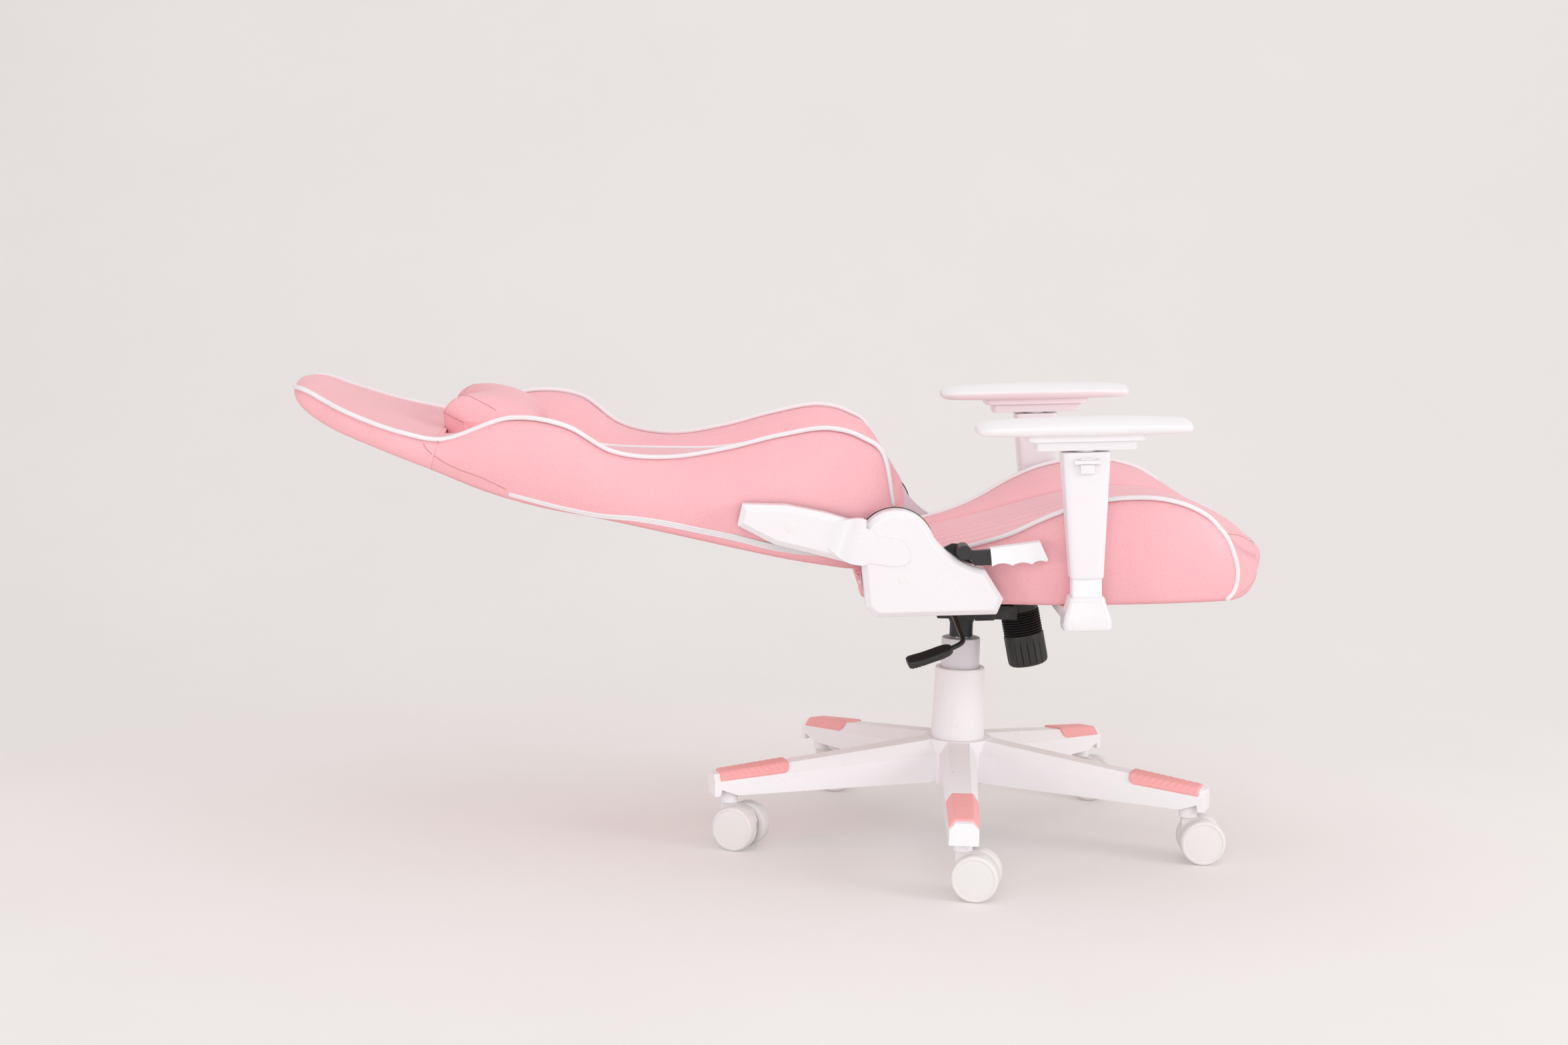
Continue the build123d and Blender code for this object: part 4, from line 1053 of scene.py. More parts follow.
def stuff(piece: Piece, pins: np.ndarray, pressure: float, cap: float) -> None:
    """Fill a cover with a short cloth run and keep its shape.

    Args:
        piece: The cover.
        pins: How firmly each point is held.
        pressure: The filling's push.
        cap: Furthest that a point may move, in millimetres.
    """
    rest = coords(piece)
    group = piece.vertex_groups.new(name="sewn_down")
    group.add([int(i) for i in np.nonzero(pins > 0.5)[0]], 1.0, "REPLACE")
    cloth = piece.modifiers.new("Filling", "CLOTH")
    for key, value in CLOTH.items():
        setattr(cloth.settings, key, value)
    cloth.settings.vertex_group_mass = group.name
    cloth.settings.uniform_pressure_force = pressure
    cloth.settings.effector_weights.gravity = 0.0
    cloth.collision_settings.use_collision = False
    cloth.collision_settings.use_self_collision = False
    cloth.point_cache.frame_start, cloth.point_cache.frame_end = 1, CLOTH_STEPS
    for step in range(1, CLOTH_STEPS + 1):
        bpy.context.scene.frame_set(step)
    seen = piece.evaluated_get(bpy.context.evaluated_depsgraph_get())
    blown = np.empty(len(rest) * 3, np.float32)
    seen.data.vertices.foreach_get("co", blown)
    piece.modifiers.remove(cloth)
    piece.vertex_groups.clear()
    bpy.context.scene.frame_set(1)
    move = np.nan_to_num(blown.reshape(-1, 3) - rest)
    size = np.linalg.norm(move, axis=1)
    keep = cap * MM * np.tanh(size / (cap * MM)) / np.maximum(size, 1e-9)
    set_coords(piece, rest + move * keep[:, None])
    LOG.info("stuffed %s, up to %.1f mm", piece.name, float((size * keep).max()) / MM)


def gathered(piece: Piece, dip: float, pucker: float, wave: float) -> None:
    """Draw the cover in along its seams, with small gathers across them.

    Args:
        piece: The finished cover.
        dip: Depth of the sewn lines in millimetres.
        pucker: Height of the gathers in millimetres.
        wave: Spacing of the gathers in millimetres.
    """
    near, run = read(piece, "sewn"), read(piece, "run")
    ripple = np.sin(2 * math.pi * run / wave + 1.9 * np.sin(2 * math.pi * run / 83.0))
    move = -dip * near**3 + pucker * ripple * near * (1.15 - near)
    set_coords(piece, coords(piece) + normals(piece) * move[:, None] * MM)


def side_rings(rows: np.ndarray, inner: float, plump: Sequence[float] = (0.0,)) -> np.ndarray:
    """Return the rings of a bolster or wing on the +Y side.

    Args:
        rows: Rows of (along, under, panel, crest, crest half, side half, foot half).
        inner: Half width of the centre panel.
        plump: Extra rise of the padded slope, for all the rows or for each.

    Returns:
        Rings of local points: the inner face, the padded slope, the outer side, the underside.
    """
    rings = []
    for (x, low, panel, crest, crest_y, side_y, foot_y), more in zip(rows, np.broadcast_to(plump, len(rows))):
        a, b, c, d = (inner, low), (inner, panel), (crest_y, crest), (foot_y, low)
        slope = 0.05 * math.hypot(crest_y - inner, crest - panel) + 0.8 + more
        ring = np.vstack([bow(a, b, 0.0, 7), bow(b, c, slope, 18), arc(c, (side_y, (crest + low) / 2), d, 24),
                          bow(d, a, 0.0, 14)])
        rings.append(np.column_stack([np.full(len(ring), x), ring]))
    return np.array(rings)


# Where lines are laid on the covers from, and how piping stands on a crest
LOOK_FROM = 220.0
LOOK_SIDE = 330.0
PIPE_IN, PIPE_UP = 0.6, 2.2
SIDE_SEWN = (0, 7, 25, 49)
SIDE_HELD = tuple(range(0, 8)) + tuple(range(49, 63))


def panel_rings(rows: Iterable[Sequence[float]], crown: float, channels: int, rise: float,
                plain_from: float = 1e9) -> np.ndarray:
    """Return the rings of a centre panel whose top is sewn into channels.

    Args:
        rows: Rows of (along, under, top, half width).
        crown: Rise of the middle over the edges.
        channels: Number of channels across.
        rise: Rise of each channel over its seams.
        plain_from: Place along the panel from which its top is plain.

    Returns:
        Rings of local points: underside, side, channels, side.
    """
    rings = []
    for x, low, top, half in rows:
        parts = [bow((half, low), (-half, low), 0.0, 12), bow((-half, low), (-half, top), 0.0, 6)]
        for step in range(channels):
            y0, y1 = (half * (2 * (step + k) / channels - 1) for k in (0, 1))
            z0, z1 = (top + crown * (1 - (y / half) ** 2) for y in (y0, y1))
            parts.append(bow((y0, z0), (y1, z1), rise * min(1.0, max(0.0, (plain_from - x) / 8.0)), 6))
        parts.append(bow((half, top), (half, low), 0.0, 6))
        ring = np.vstack(parts)
        rings.append(np.column_stack([np.full(len(ring), x), ring]))
    return np.array(rings)


def shrunk(ring: np.ndarray, shift: float, sizes: float | Sequence[float]) -> np.ndarray:
    """Return a ring drawn in round its middle and moved along the piece."""
    middle = ring.mean(0)
    return middle + (ring - middle) * sizes + (shift, 0.0, 0.0)


def domed(rings: np.ndarray, steps: Sequence[tuple[float, float]]) -> np.ndarray:
    """Return rings with a rounded end in front of the first one.

    Args:
        rings: Rings of local points.
        steps: Pairs of (reach past the first ring, share of its size), outermost first.

    Returns:
        All the rings.
    """
    return np.concatenate([np.array([shrunk(rings[0], -reach, share) for reach, share in steps]), rings])


def cushioned(cover: Cover, paints: Sequence[Paint], filling: tuple[float, float],
              seams: tuple[float, float, float]) -> Piece:
    """Return a cover that has been stuffed, smoothed and drawn in along its seams.

    Args:
        cover: The sewn cover.
        paints: Its materials.
        filling: The filling's push and the furthest move in millimetres.
        seams: Depth of the seams, height and spacing of the gathers in millimetres.

    Returns:
        The finished cover.
    """
    piece = cover.piece(paints)
    stuff(piece, cover.pins(), *filling)
    subdivided(piece)
    gathered(piece, *seams)
    return piece


def boxed(rows: Iterable[Sequence[float]], x: float, y: float) -> np.ndarray:
    """Return rings of rounded boxes round an upright line.

    Args:
        rows: Rows of (height, length, width, softness from 0 for a box to 1 for an ellipse).
        x: Place of the line along the seat.
        y: Place of the line across the seat.

    Returns:
        The rings as local points.
    """
    a = np.arange(112) * 2 * math.pi / 112
    turn = np.column_stack([np.cos(a), np.sin(a)])
    rings = []
    for t, length, width, soft in rows:
        p = np.sign(turn) * np.abs(turn) ** soft * (length / 2, width / 2)
        rings.append(np.column_stack([p + (x, y), np.full(len(p), t)]))
    return np.array(rings)


def panel_seams(channels: int) -> tuple[list[int], list[int]]:
    """Return the sewn and the held places round a panel's ring."""
    last = 18 + 6 * channels
    return list(range(18, last + 1, 6)), list(range(19)) + list(range(last, last + 6))


def channel_lines(panel: Piece, slope: Slope, half: float, channels: int,
                  places: np.ndarray) -> list[np.ndarray]:
    """Return the sewn lines between a panel's channels, laid on its top.

    Args:
        panel: The finished panel.
        slope: Its frame.
        half: Its half width in millimetres.
        channels: Number of channels across.
        places: Places along the panel in millimetres.

    Returns:
        The lines as points in metres.
    """
    top, down, lines = Skin(panel), slope.way(0, 0, -1), []
    for step in range(1, channels):
        y = half * (2 * step / channels - 1)
        above = slope.world(np.array([(x, y, LOOK_FROM) for x in places]))
        lines.append(top.lay(above, down, 0.0003)[0])
    return lines


@dataclass
class SeatCushion:
    """The seat's cover: punched centre panel, bolsters, piping and stitching."""

    finish: Finishes
    panel_half: float = 118.0
    widest: float = 241.0
    rear_half: float = 205.0
    crown: float = 6.0
    channels: int = 9
    rise: float = 1.5
    nose_seam: float = 384.0
    piping_radius: float = 3.2
    rear: tuple = ((-150, 14, 24, 28, .829, .966, .917), (-130, 3, 32, 36, .834, .978, .921),
                   (-105, 0, 42, 45, .839, .990, .926), (-55, 0, 60, 61.5, .858, .995, .937),
                   (0, 0, 72, 75.5, .897, 1.0, .946), (45, 0, 82, 91.5, .990, 1.044, .985))
    front: tuple = ((85, 0, 92, 111.5, .900, .954, .888), (135, 0, 104, 130, .942, .988, .921),
                    (195, 0, 112, 138, .954, 1.0, .938), (245, 0, 112, 134, .954, 1.0, .938),
                    (285, 0, 106, 119, .938, .979, .921), (311, 0, 98, 100, .917, .950, .905),
                    (328, 0, 91, 82, .893, .925, .880), (340, 0, 85, 70, .845, .876, .830),
                    (352, 1, 79, 61, .775, .805, .758), (363, 4, 72, 54, .690, .715, .676),
                    (372, 9, 65, 49, .605, .625, .595), (379, 15, 57, 44, .535, .548, .529))
    nose: tuple = ((388, 19, 51, .78), (396, 22, 44, .54), (402, 26, 38, .29))
    nose_end: tuple = ((2.2, 0.8), (3.4, 0.45))
    corner: tuple = ((310, 99), (323, 82), (331, 62), (336, 42), (335, 24), (330, 11), (323, 4))
    top_seam: tuple = ((327, 204), (340, 172), (356, 139), (369, 120), (378, 106), (384, 88), (384, 0))
    low_seam: tuple = ((203, 7), (150, 18), (115, 29), (60, 32), (0, 33))

    def rows(self, step: float) -> np.ndarray:
        """Return smooth rows with half widths in millimetres, all above the pan."""
        made = [row[:4] + tuple(p * self.rear_half for p in row[4:]) for row in self.rear]
        made = flow(made + [row[:4] + tuple(p * self.widest for p in row[4:]) for row in self.front], step)
        made[:, 1] = np.maximum(made[:, 1], 0.0)
        return made

    def build(self) -> list[Piece]:
        """Build and dress the seat's cover.

        Returns:
            The finished pieces.
        """
        panel = self._panel()
        bolster = self._bolster()
        far = mirrored(bolster, "seat_bolster_cover_left")
        for piece, node in ((panel, "seat_cushion"), (bolster, "seat_bolster_right"),
                            (far, "seat_bolster_left")):
            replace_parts(piece, node)
        trim = [self._piping(bolster, Side.RIGHT), self._piping(far, Side.LEFT),
                self._stitching(panel, bolster, far)] + self._front_seams(Skin(panel, bolster, far))
        return [panel, bolster, far] + trim

    def _panel(self) -> Piece:
        """Return the stuffed centre panel with its plain nose."""
        rows = [(r[0], r[1], r[2], self.panel_half) for r in self.rows(6.0)]
        rows += [(x, low, top, part * self.panel_half) for x, low, top, part in self.nose]
        rings = panel_rings(flow(rows, 6.0), self.crown, self.channels, self.rise, self.nose_seam)
        more = [shrunk(rings[-1], reach, share) for reach, share in self.nose_end]
        cover = Cover("seat_panel_cover", np.concatenate([rings, np.array(more)]),
                      *panel_seams(self.channels), SEAT, (False, False), self.nose_seam)
        piece = cushioned(cover, [self.finish.panel, self.finish.pink], PANEL_FILLING, PANEL_SEAMS)
        for face in piece.data.polygons:
            s, _, t = SEAT.local(np.array(face.center))
            up = Vector(face.normal).dot(SEAT.way(0, 0, 1))
            face.material_index = 0 if s < self.nose_seam and up > 0.35 and t > 15 else 1
        return piece

    def _bolster(self) -> Piece:
        """Return the stuffed right-hand bolster."""
        rings = side_rings(self.rows(6.0), self.panel_half)
        rings[:, :, 1] *= Side.RIGHT.value
        cover = Cover("seat_bolster_cover_right", rings, SIDE_SEWN, SIDE_HELD, SEAT)
        return cushioned(cover, [self.finish.pink], SIDE_FILLING, SIDE_SEAMS)

    def _piping(self, bolster: Piece, side: Side) -> Piece:
        """Return the white piping along a bolster's crest and down its front corner."""
        crest = self.rows(8.0)
        crest = crest[crest[:, 0] < 306]
        path = np.column_stack([crest[:, 0], side.value * (crest[:, 4] - PIPE_IN), crest[:, 3] + PIPE_UP])
        drop = np.array([(s, side.value * LOOK_SIDE, t) for s, t in self.corner])
        spots, _ = Skin(bolster).lay(SEAT.world(drop), Vector((0, -side.value, 0)), 0.0012)
        path = even(np.vstack([SEAT.world(path), spots]), 0.005)
        return tube(f"seat_piping_{side.word}", path, self.piping_radius * MM, self.finish.piping)

    def _stitching(self, panel: Piece, right: Piece, left: Piece) -> Piece:
        """Return the stitch rows on the panel and along the bolsters."""
        paths = channel_lines(panel, SEAT, self.panel_half, self.channels,
                              np.arange(-140, self.nose_seam, 5.0))
        rows = self.rows(6.0)
        for side, piece in ((Side.RIGHT, right), (Side.LEFT, left)):
            line = np.array([(r[0], side.value * LOOK_SIDE, r[3] - 5.5) for r in rows if -60 < r[0] < 300])
            paths.append(Skin(piece).lay(SEAT.world(line), Vector((0, -side.value, 0)), 0.0002)[0])
        return sewing("seat_stitching", paths, self.finish.pale, 4.6, 3.2, 0.75)

    def _front_seams(self, covers: Skin) -> list[Piece]:
        """Return the dark pink line over the front edge, which is painted shade in the seam crease, and the
        dashed stitches along its foot.
        """
        upper, lower = (even(np.vstack([half * way, half[-2::-1]]), 4.0) for half, way in (
            (np.array(self.top_seam, float), (1, -1)), (np.array(self.low_seam, float), (-1, 1))))
        above = np.column_stack([upper, np.full(len(upper), LOOK_FROM)])
        before = np.column_stack([np.full(len(lower), 470.0), lower])
        line = covers.lay(SEAT.world(above), SEAT.way(0, 0, -1), 0.0)[0]
        dashes = covers.lay(SEAT.world(before), SEAT.way(-1, 0, 0), 0.0)[0]
        return [tube("seat_front_seam", line, 0.5 * MM, self.finish.groove, 6),
                sewing("seat_front_stitches", [dashes], self.finish.groove, 4.4, 3.0, 0.9)]


@dataclass
class BackCushion:
    """The back's cover: channelled panel, wings, head section, piping, zip and neck pillow."""

    finish: Finishes
    panel_half: float = 112.0
    waist: float = 205.0
    neck: float = 600.0
    crown: float = 5.0
    channels: int = 9
    rise: float = 1.5
    piping_radius: float = 3.2
    plump: tuple = ((15, 42), (30, 30), (45, 18), (60, 8), (80, 3), (120, 0), (600, 0))
    dome: tuple = ((17.5, .50), (14.0, .67), (9.0, .81), (4.5, .93))
    rows: tuple = ((15, -42, 30, 44, .893, .941, .854), (45, -50, 60, 103, .927, .985, .888),
                   (80, -55, 75, 118, .907, .995, .907), (120, -60, 74, 117, .868, 1.0, .917),
                   (180, -65, 53, 89, .820, 1.0, .927), (241, -69, 24, 52, .790, .995, .937),
                   (313, -74, 1, 18, .800, .995, .946), (384, -79, -18, 8, .941, 1.044, .976),
                   (450, -84, -30, 26, 1.107, 1.151, 1.044), (520, -86, -37, 14, 1.044, 1.102, 1.005),
                   (600, -80, -41, -40, 1.0, 1.029, .956))
    head: tuple = ((0, -80, -40, 1.0), (18, -79, -43.5, .991), (50, -77, -45, .961), (105, -75, -46, .834),
                   (137, -73, -44, .756), (165, -69, -41, .654), (185, -63, -38, .595), (197, -57, -38, .545),
                   (205, -52, -40, .465), (211, -49, -43, .330))
    head_end: tuple = ((1.6, 0.72), (2.6, 0.4))
    zip_line: tuple = ((-607, 490), (-577, 483), (-534, 472), (-491, 463), (-448, 460), (-405, 454),
                       (-362, 446), (-319, 438), (-276, 428), (-232, 420), (-198, 416))
    side_seam: tuple = ((-718, 551), (-713, 544), (-704, 537), (-692, 529), (-675, 521), (-645, 511),
                        (-611, 496))
    pillow: tuple = ((0, 580, 488, -4, -8, 29), (35, 586, 486, -5, -8, 28), (62, 597, 483.5, -8, -7, 26.5),
                     (80, 607, 481.5, -11, -7.5, 24), (95, 613, 480, -13, -8, 20),
                     (104, 610, 482, -14.5, -10, 14),
                     (112, 598, 487, -16, -13.5, 5), (119, 581, 497, -18, -18, -11))
    pillow_tuck: float = 16.0
    pillow_dart: tuple = ((603, 80), (590, 92), (572, 102), (545, 109))

    def sized(self) -> list[tuple[float, ...]]:
        """Return the measured rows with half widths in millimetres."""
        return [row[:4] + tuple(p * self.waist for p in row[4:]) for row in self.rows]

    def build(self) -> list[Piece]:
        """Build and dress the back's cover.

        Returns:
            The finished pieces.
        """
        panel, wing, head = self._panel(), self._wing(), self._head()
        far = mirrored(wing, "back_wing_cover_left")
        pillow = self._pillow(Skin(panel, head, wing, far))
        for piece, node, fill in ((panel, "back_cushion", .7), (wing, "back_wing_right", .8),
                                  (far, "back_wing_left", .8), (head, "head_cushion", .75),
                                  (pillow, "headrest_pillow", .65)):
            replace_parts(piece, node)
        trim = [self._piping(), self._panel_piping(), self._stitching(panel, head),
                self._seams(head, wing, far, pillow)]
        zips = [self._zip(side, Skin(piece)) for side, piece in ((Side.RIGHT, wing), (Side.LEFT, far))]
        return [panel, wing, far, head, pillow] + trim + zips

    def _panel(self) -> Piece:
        """Return the stuffed centre panel."""
        rows = [(r[0], r[1], r[2], self.panel_half) for r in self.sized()]
        rings = domed(panel_rings(flow(rows, 6.0), self.crown, self.channels, self.rise), self.dome)
        cover = Cover("back_panel_cover", rings, *panel_seams(self.channels), BACK, (False, True))
        piece = cushioned(cover, [self.finish.panel, self.finish.pink], PANEL_FILLING, PANEL_SEAMS)
        for face in piece.data.polygons:
            face.material_index = 0 if Vector(face.normal).dot(BACK.way(0, 0, 1)) > 0.35 else 1
        return piece

    def _wing(self) -> Piece:
        """Return the stuffed right-hand wing, plump at its lower end."""
        rows = flow(self.sized(), 6.0)
        plump = np.interp(rows[:, 0], *np.array(self.plump, float).T)
        rings = domed(side_rings(rows, self.panel_half, plump), self.dome)
        rings[:, :, 1] *= Side.RIGHT.value
        cover = Cover("back_wing_cover_right", rings, SIDE_SEWN, SIDE_HELD, BACK, (False, True))
        return cushioned(cover, [self.finish.pink], SIDE_FILLING, SIDE_SEAMS)

    def _head(self) -> Piece:
        """Return the stuffed head section."""
        rings = []
        for x, rear, front, part in flow(self.head, 6.0):
            half = part * self.waist
            foot, bulge = half - 8, 0.28 * (front - rear)
            ring = np.vstack([bow((foot, rear), (-foot, rear), -3.0, 26),
                              bow((-foot, rear), (-half, front), bulge, 10),
                              bow((-half, front), (half, front), 9.0, 34),
                              bow((half, front), (foot, rear), bulge, 10)])
            rings.append(np.column_stack([np.full(len(ring), self.neck + x), ring]))
        last = rings[-1]
        rings += [shrunk(last, reach, (1, k, 0.5 + k / 2)) for reach, k in self.head_end]
        cover = Cover("head_cover", np.array(rings), (0, 26, 36, 70), (), BACK, (True, False))
        return cushioned(cover, [self.finish.pink], HEAD_FILLING, HEAD_SEAMS)

    def _pillow(self, under: Skin) -> Piece:
        """Return the stuffed neck pillow, whose sides go down to the panel and the head section."""
        half = np.array(self.pillow)
        rows = np.vstack([half[:0:-1] * (-1, 1, 1, 1, 1, 1), half])
        f = np.linspace(0.0, 1.0, 27)[:-1]
        puff = (1 - np.abs(2 * f - 1) ** 2.6) ** 0.55
        rings = []
        for y, over, low, seam_over, seam_low, crown in flow(rows, 5.0):
            seam = seam_low + (seam_over - seam_low) * f
            top = np.column_stack([low + (over - low) * f, seam + (crown - seam) * puff])
            tuck = over - self.pillow_tuck
            ring = np.vstack([top, bow((over, seam_over), (tuck, -48), 0.0, 6),
                              bow((tuck, -48), (low, -48), 0.0, 20),
                              bow((low, -48), (low, seam_low), 0.0, 6)])
            rings.append(np.column_stack([ring[:, 0], np.full(len(ring), y), ring[:, 1]]))
        cover = Cover("neck_pillow", np.array(rings), (0, 26), range(26, 58), BACK)
        piece = cushioned(cover, [self.finish.pink], PILLOW_FILLING, PILLOW_SEAMS)
        points = BACK.local(coords(piece))
        for i, (u, y, w) in enumerate(points):
            spot, _, _, _ = under.tree.ray_cast(Vector(BACK.world((u, y, 150.0))), BACK.way(0, 0, -1))
            if spot is not None:
                points[i, 2] = max(w, BACK.local(np.array(spot))[2] + 0.3)
        set_coords(piece, BACK.world(points))
        return piece

    def _rim(self, side: Side) -> np.ndarray:
        """Return the crest of a wing and the edge of the head section, as local points."""
        wing = [(r[0], side.value * (r[4] - PIPE_IN), r[3] + PIPE_UP) for r in self.sized()]
        head = [(self.neck + x, side.value * part * self.waist, front + 1.0) for x, _, front,
                part in self.head[2:]]
        return flow(wing + head, 6.0)

    def _piping(self) -> Piece:
        """Return the white piping from hinge to hinge round the head."""
        right, left = self._rim(Side.RIGHT), self._rim(Side.LEFT)
        end = right[-1]
        over = np.array([(end[0] + 3.4 - (y / 38) ** 2, y, end[2] - 2.0) for y in (-44, -22, 0, 22, 44)])
        path = BACK.world(np.vstack([right, over, left[::-1]]))
        return tube("back_piping", even(path, 0.005), self.piping_radius * MM, self.finish.piping)

    def _panel_piping(self) -> Piece:
        """Return the two white pipings beside the centre panel."""
        pieces = []
        rows = flow(self.sized(), 8.0)
        rows = rows[(rows[:, 0] > 18) & (rows[:, 0] < self.neck - 4)]
        for side in Side:
            path = np.column_stack([rows[:, 0], np.full(len(rows), side.value * (self.panel_half + 1.5)),
                                    rows[:, 2] + 1.8])
            pieces.append(tube(f"panel_piping_{side.word}", even(BACK.world(path), 0.006), 2.6 * MM,
                               self.finish.piping))
        return joined("panel_piping", pieces)

    def _zip(self, side: Side, under: Skin) -> Piece:
        """Return the zip along a wing's lower edge: three ribs that widen towards the hinge."""
        starts = np.array([(x * MM, side.value * 0.4, z * MM) for x, z in self.zip_line])
        line, ups = under.lay(even(starts, 0.006), Vector((0, -side.value, 0)), 0.0005)
        ways = np.gradient(line, axis=0)
        across = np.cross(ups, ways / np.linalg.norm(ways, axis=1)[:, None])
        f = np.linspace(0.0, 1.0, len(line))
        size = (1.05 + 0.85 * f) * np.interp(f, (0.0, 0.84, 1.0), (1.0, 1.0, 0.35)) * MM
        ribs = [tube(f"rib_{k}", line + across * (k * 1.85 * size)[:, None], size, self.finish.piping,
                     8) for k in (-1, 0, 1)]
        return joined(f"zip_{side.word}", ribs)

    def _stitching(self, panel: Piece, head: Piece) -> Piece:
        """Return the pale stitch rows of the panel and the neck seam."""
        paths = channel_lines(panel, BACK, self.panel_half, self.channels, np.arange(22, self.neck - 4, 5.0))
        line = np.array([(self.neck + 5.0, y, 100.0) for y in np.arange(-196, 197, 4.0)])
        paths.append(Skin(head).lay(BACK.world(line), BACK.way(0, 0, -1), 0.0003)[0])
        return sewing("back_stitching", paths, self.finish.thread, 4.4, 3.0, 0.7)

    def _seams(self, head: Piece, right: Piece, left: Piece, pillow: Piece) -> Piece:
        """Return the dark pink lines on the head's sides and round the pillow's top, painted shade in their
        seam creases.
        """
        paths = []
        puff = Skin(pillow)
        for side, wing in ((Side.RIGHT, right), (Side.LEFT, left)):
            seam = np.array([(x * MM, side.value * 0.4, z * MM) for x, z in self.side_seam])
            paths.append(Skin(wing, head).lay(even(seam, 0.004), Vector((0, -side.value, 0)), 0.0)[0])
            dart = even(np.array([(u, side.value * y, 120.0) for u, y in self.pillow_dart]), 4.0)
            paths.append(puff.lay(BACK.world(dart), BACK.way(0, 0, -1), 0.0)[0])
        half = flow(self.pillow, 5.0)
        for edge, seam in ((1, 3), (2, 4)):
            line = np.column_stack([half[:, edge], half[:, 0], half[:, seam]])
            line = np.vstack([line[:0:-1] * (1, -1, 1), line])
            spots = [puff.tree.find_nearest(Vector(p))[0] for p in BACK.world(line)]
            paths.append(np.array(spots))
        return joined("back_seams", [tube(f"seam_{i}", path, 0.5 * MM, self.finish.groove, 6)
                                     for i, path in enumerate(paths)])


@dataclass
class HingeCovers:
    """The side covers: on the seat's recliner plates and on the back arms."""

    finish: Finishes
    out: float = 250.0
    arm_out: float = 238.0
    hinge: tuple[float, float] = (-106.5, 83.0)
    seat_cap: tuple[float, float] = (-98.5, 45.0)
    arm_cap: tuple[float, float] = (138.0, -12.5)
    cap_radius: float = 7.4
    bridge: tuple = ((88, -24, 9, 235, 237.6), (84, -25, 10.8, 235, 238.4), (70, -31, 19, 235, 244.6),
                     (60, -33.5, 23.5, 236, 249.2), (52.4, -34.5, 25.6, 238, 251.3))
    tongue: tuple = ((51.6, -34.5, 25.7), (48.5, -34.2, 26), (45.6, -33.9, 15.2), (36, -32.4, 15.2),
                     (31.5, -30, 9.4),
                     (28, -26.4, 9.3), (2, -22.8, 13.2), (-8, -20.2, 10.6), (-14, -17, 6.5), (-18, -13, 0),
                     (-19.4, -9, -4))
    rim: tuple = ((30, 212.6), (50.2, 212.6), (50.8, 213.2), (50.8, 216.4), (50.2, 216.9), (30, 216.9))
    tongue_gap: float = 0.2
    tongue_thick: float = 1.2

    def build(self) -> list[tuple[Piece, Body]]:
        """Build and dress the covers.

        Returns:
            The pieces with their bodies.
        """
        pieces: list[tuple[Piece, Body]] = []
        for side in Side:
            shell = rounded(f"hinge_cover_{side.word}", f"hinge_shell_{side.word}", self.finish.gloss, 1.4, 3)
            arm = rounded(f"back_arm_cover_{side.word}", f"back_arm_shell_{side.word}", self.finish.gloss,
                          1.4, 3)
            pieces += [(shell, Body.SEAT), (arm, Body.BACK), (self._tongue(side), Body.BACK),
                       (self._disc(side), Body.SEAT)]
        spots = {Body.SEAT: SEAT.world([(self.seat_cap[0], s.value * self.out,
                                         self.seat_cap[1]) for s in Side]),
                 Body.BACK: BACK.world([(self.arm_cap[0], s.value * self.arm_out,
                                         self.arm_cap[1]) for s in Side])}
        for body, places in spots.items():
            pieces.append((spotted(f"{body.value}_screw_caps", places, self._cap(), self.finish.ivory), body))
        return pieces

    def _cap(self) -> Piece:
        """Return one domed screw cap, the same from both sides."""
        r = self.cap_radius
        profile = [(0, 0.5), (r - 3, 0.47), (r - 1.2, 0.38), (r - 0.3, 0.2), (r, 0.0), (r - 0.3, -0.2),
                   (r - 1.2, -0.38), (r - 3, -0.47), (0, -0.5)]
        return lathe("cap_pattern", profile, self.finish.ivory, axis_at((0, 0, 0), Vector((0, 1, 0))),
                     segments=36)

    def _tongue(self, side: Side) -> Piece:
        """Return the part of a back arm cover that steps out and laps over the hinge cover."""
        inner = self.out + self.tongue_gap
        lap = [row + (inner, inner + self.tongue_thick) for row in self.tongue]
        rings, e = [], 0.45
        for u, low, high, y0, y1 in list(self.bridge) + lap:
            ring = ((y0, low), (y1 - e, low), (y1, low + e), (y1, high - e), (y1 - e, high), (y0, high))
            rings.append([(u, side.value * y, w) for y, w in ring])
        piece = skin(f"hinge_tongue_{side.word}", BACK.world(np.array(rings)), [self.finish.gloss])
        piece.data.set_sharp_from_angle(angle=math.radians(30))
        return piece

    def _disc(self, side: Side) -> Piece:
        """Return the dark rim of the recliner that shows behind the hinge cover."""
        spot = SEAT.world([(self.hinge[0], 0.0, self.hinge[1])])[0] / MM
        return lathe(f"recliner_rim_{side.word}", self.rim, self.finish.steel,
                     axis_at(spot, Vector((0, side.value, 0))), loop=True)


@dataclass
class ReclineLever:
    """The recline lever with its wavy grip."""

    finish: Finishes
    def build(self) -> list[Piece]:
        """Build and dress the lever."""
        return [rounded("recline_lever", "recline_lever_arm", self.finish.black, 1.2, 2),
                rounded("recline_grip", "recline_lever_grip", self.finish.white, 2.6, 3)]


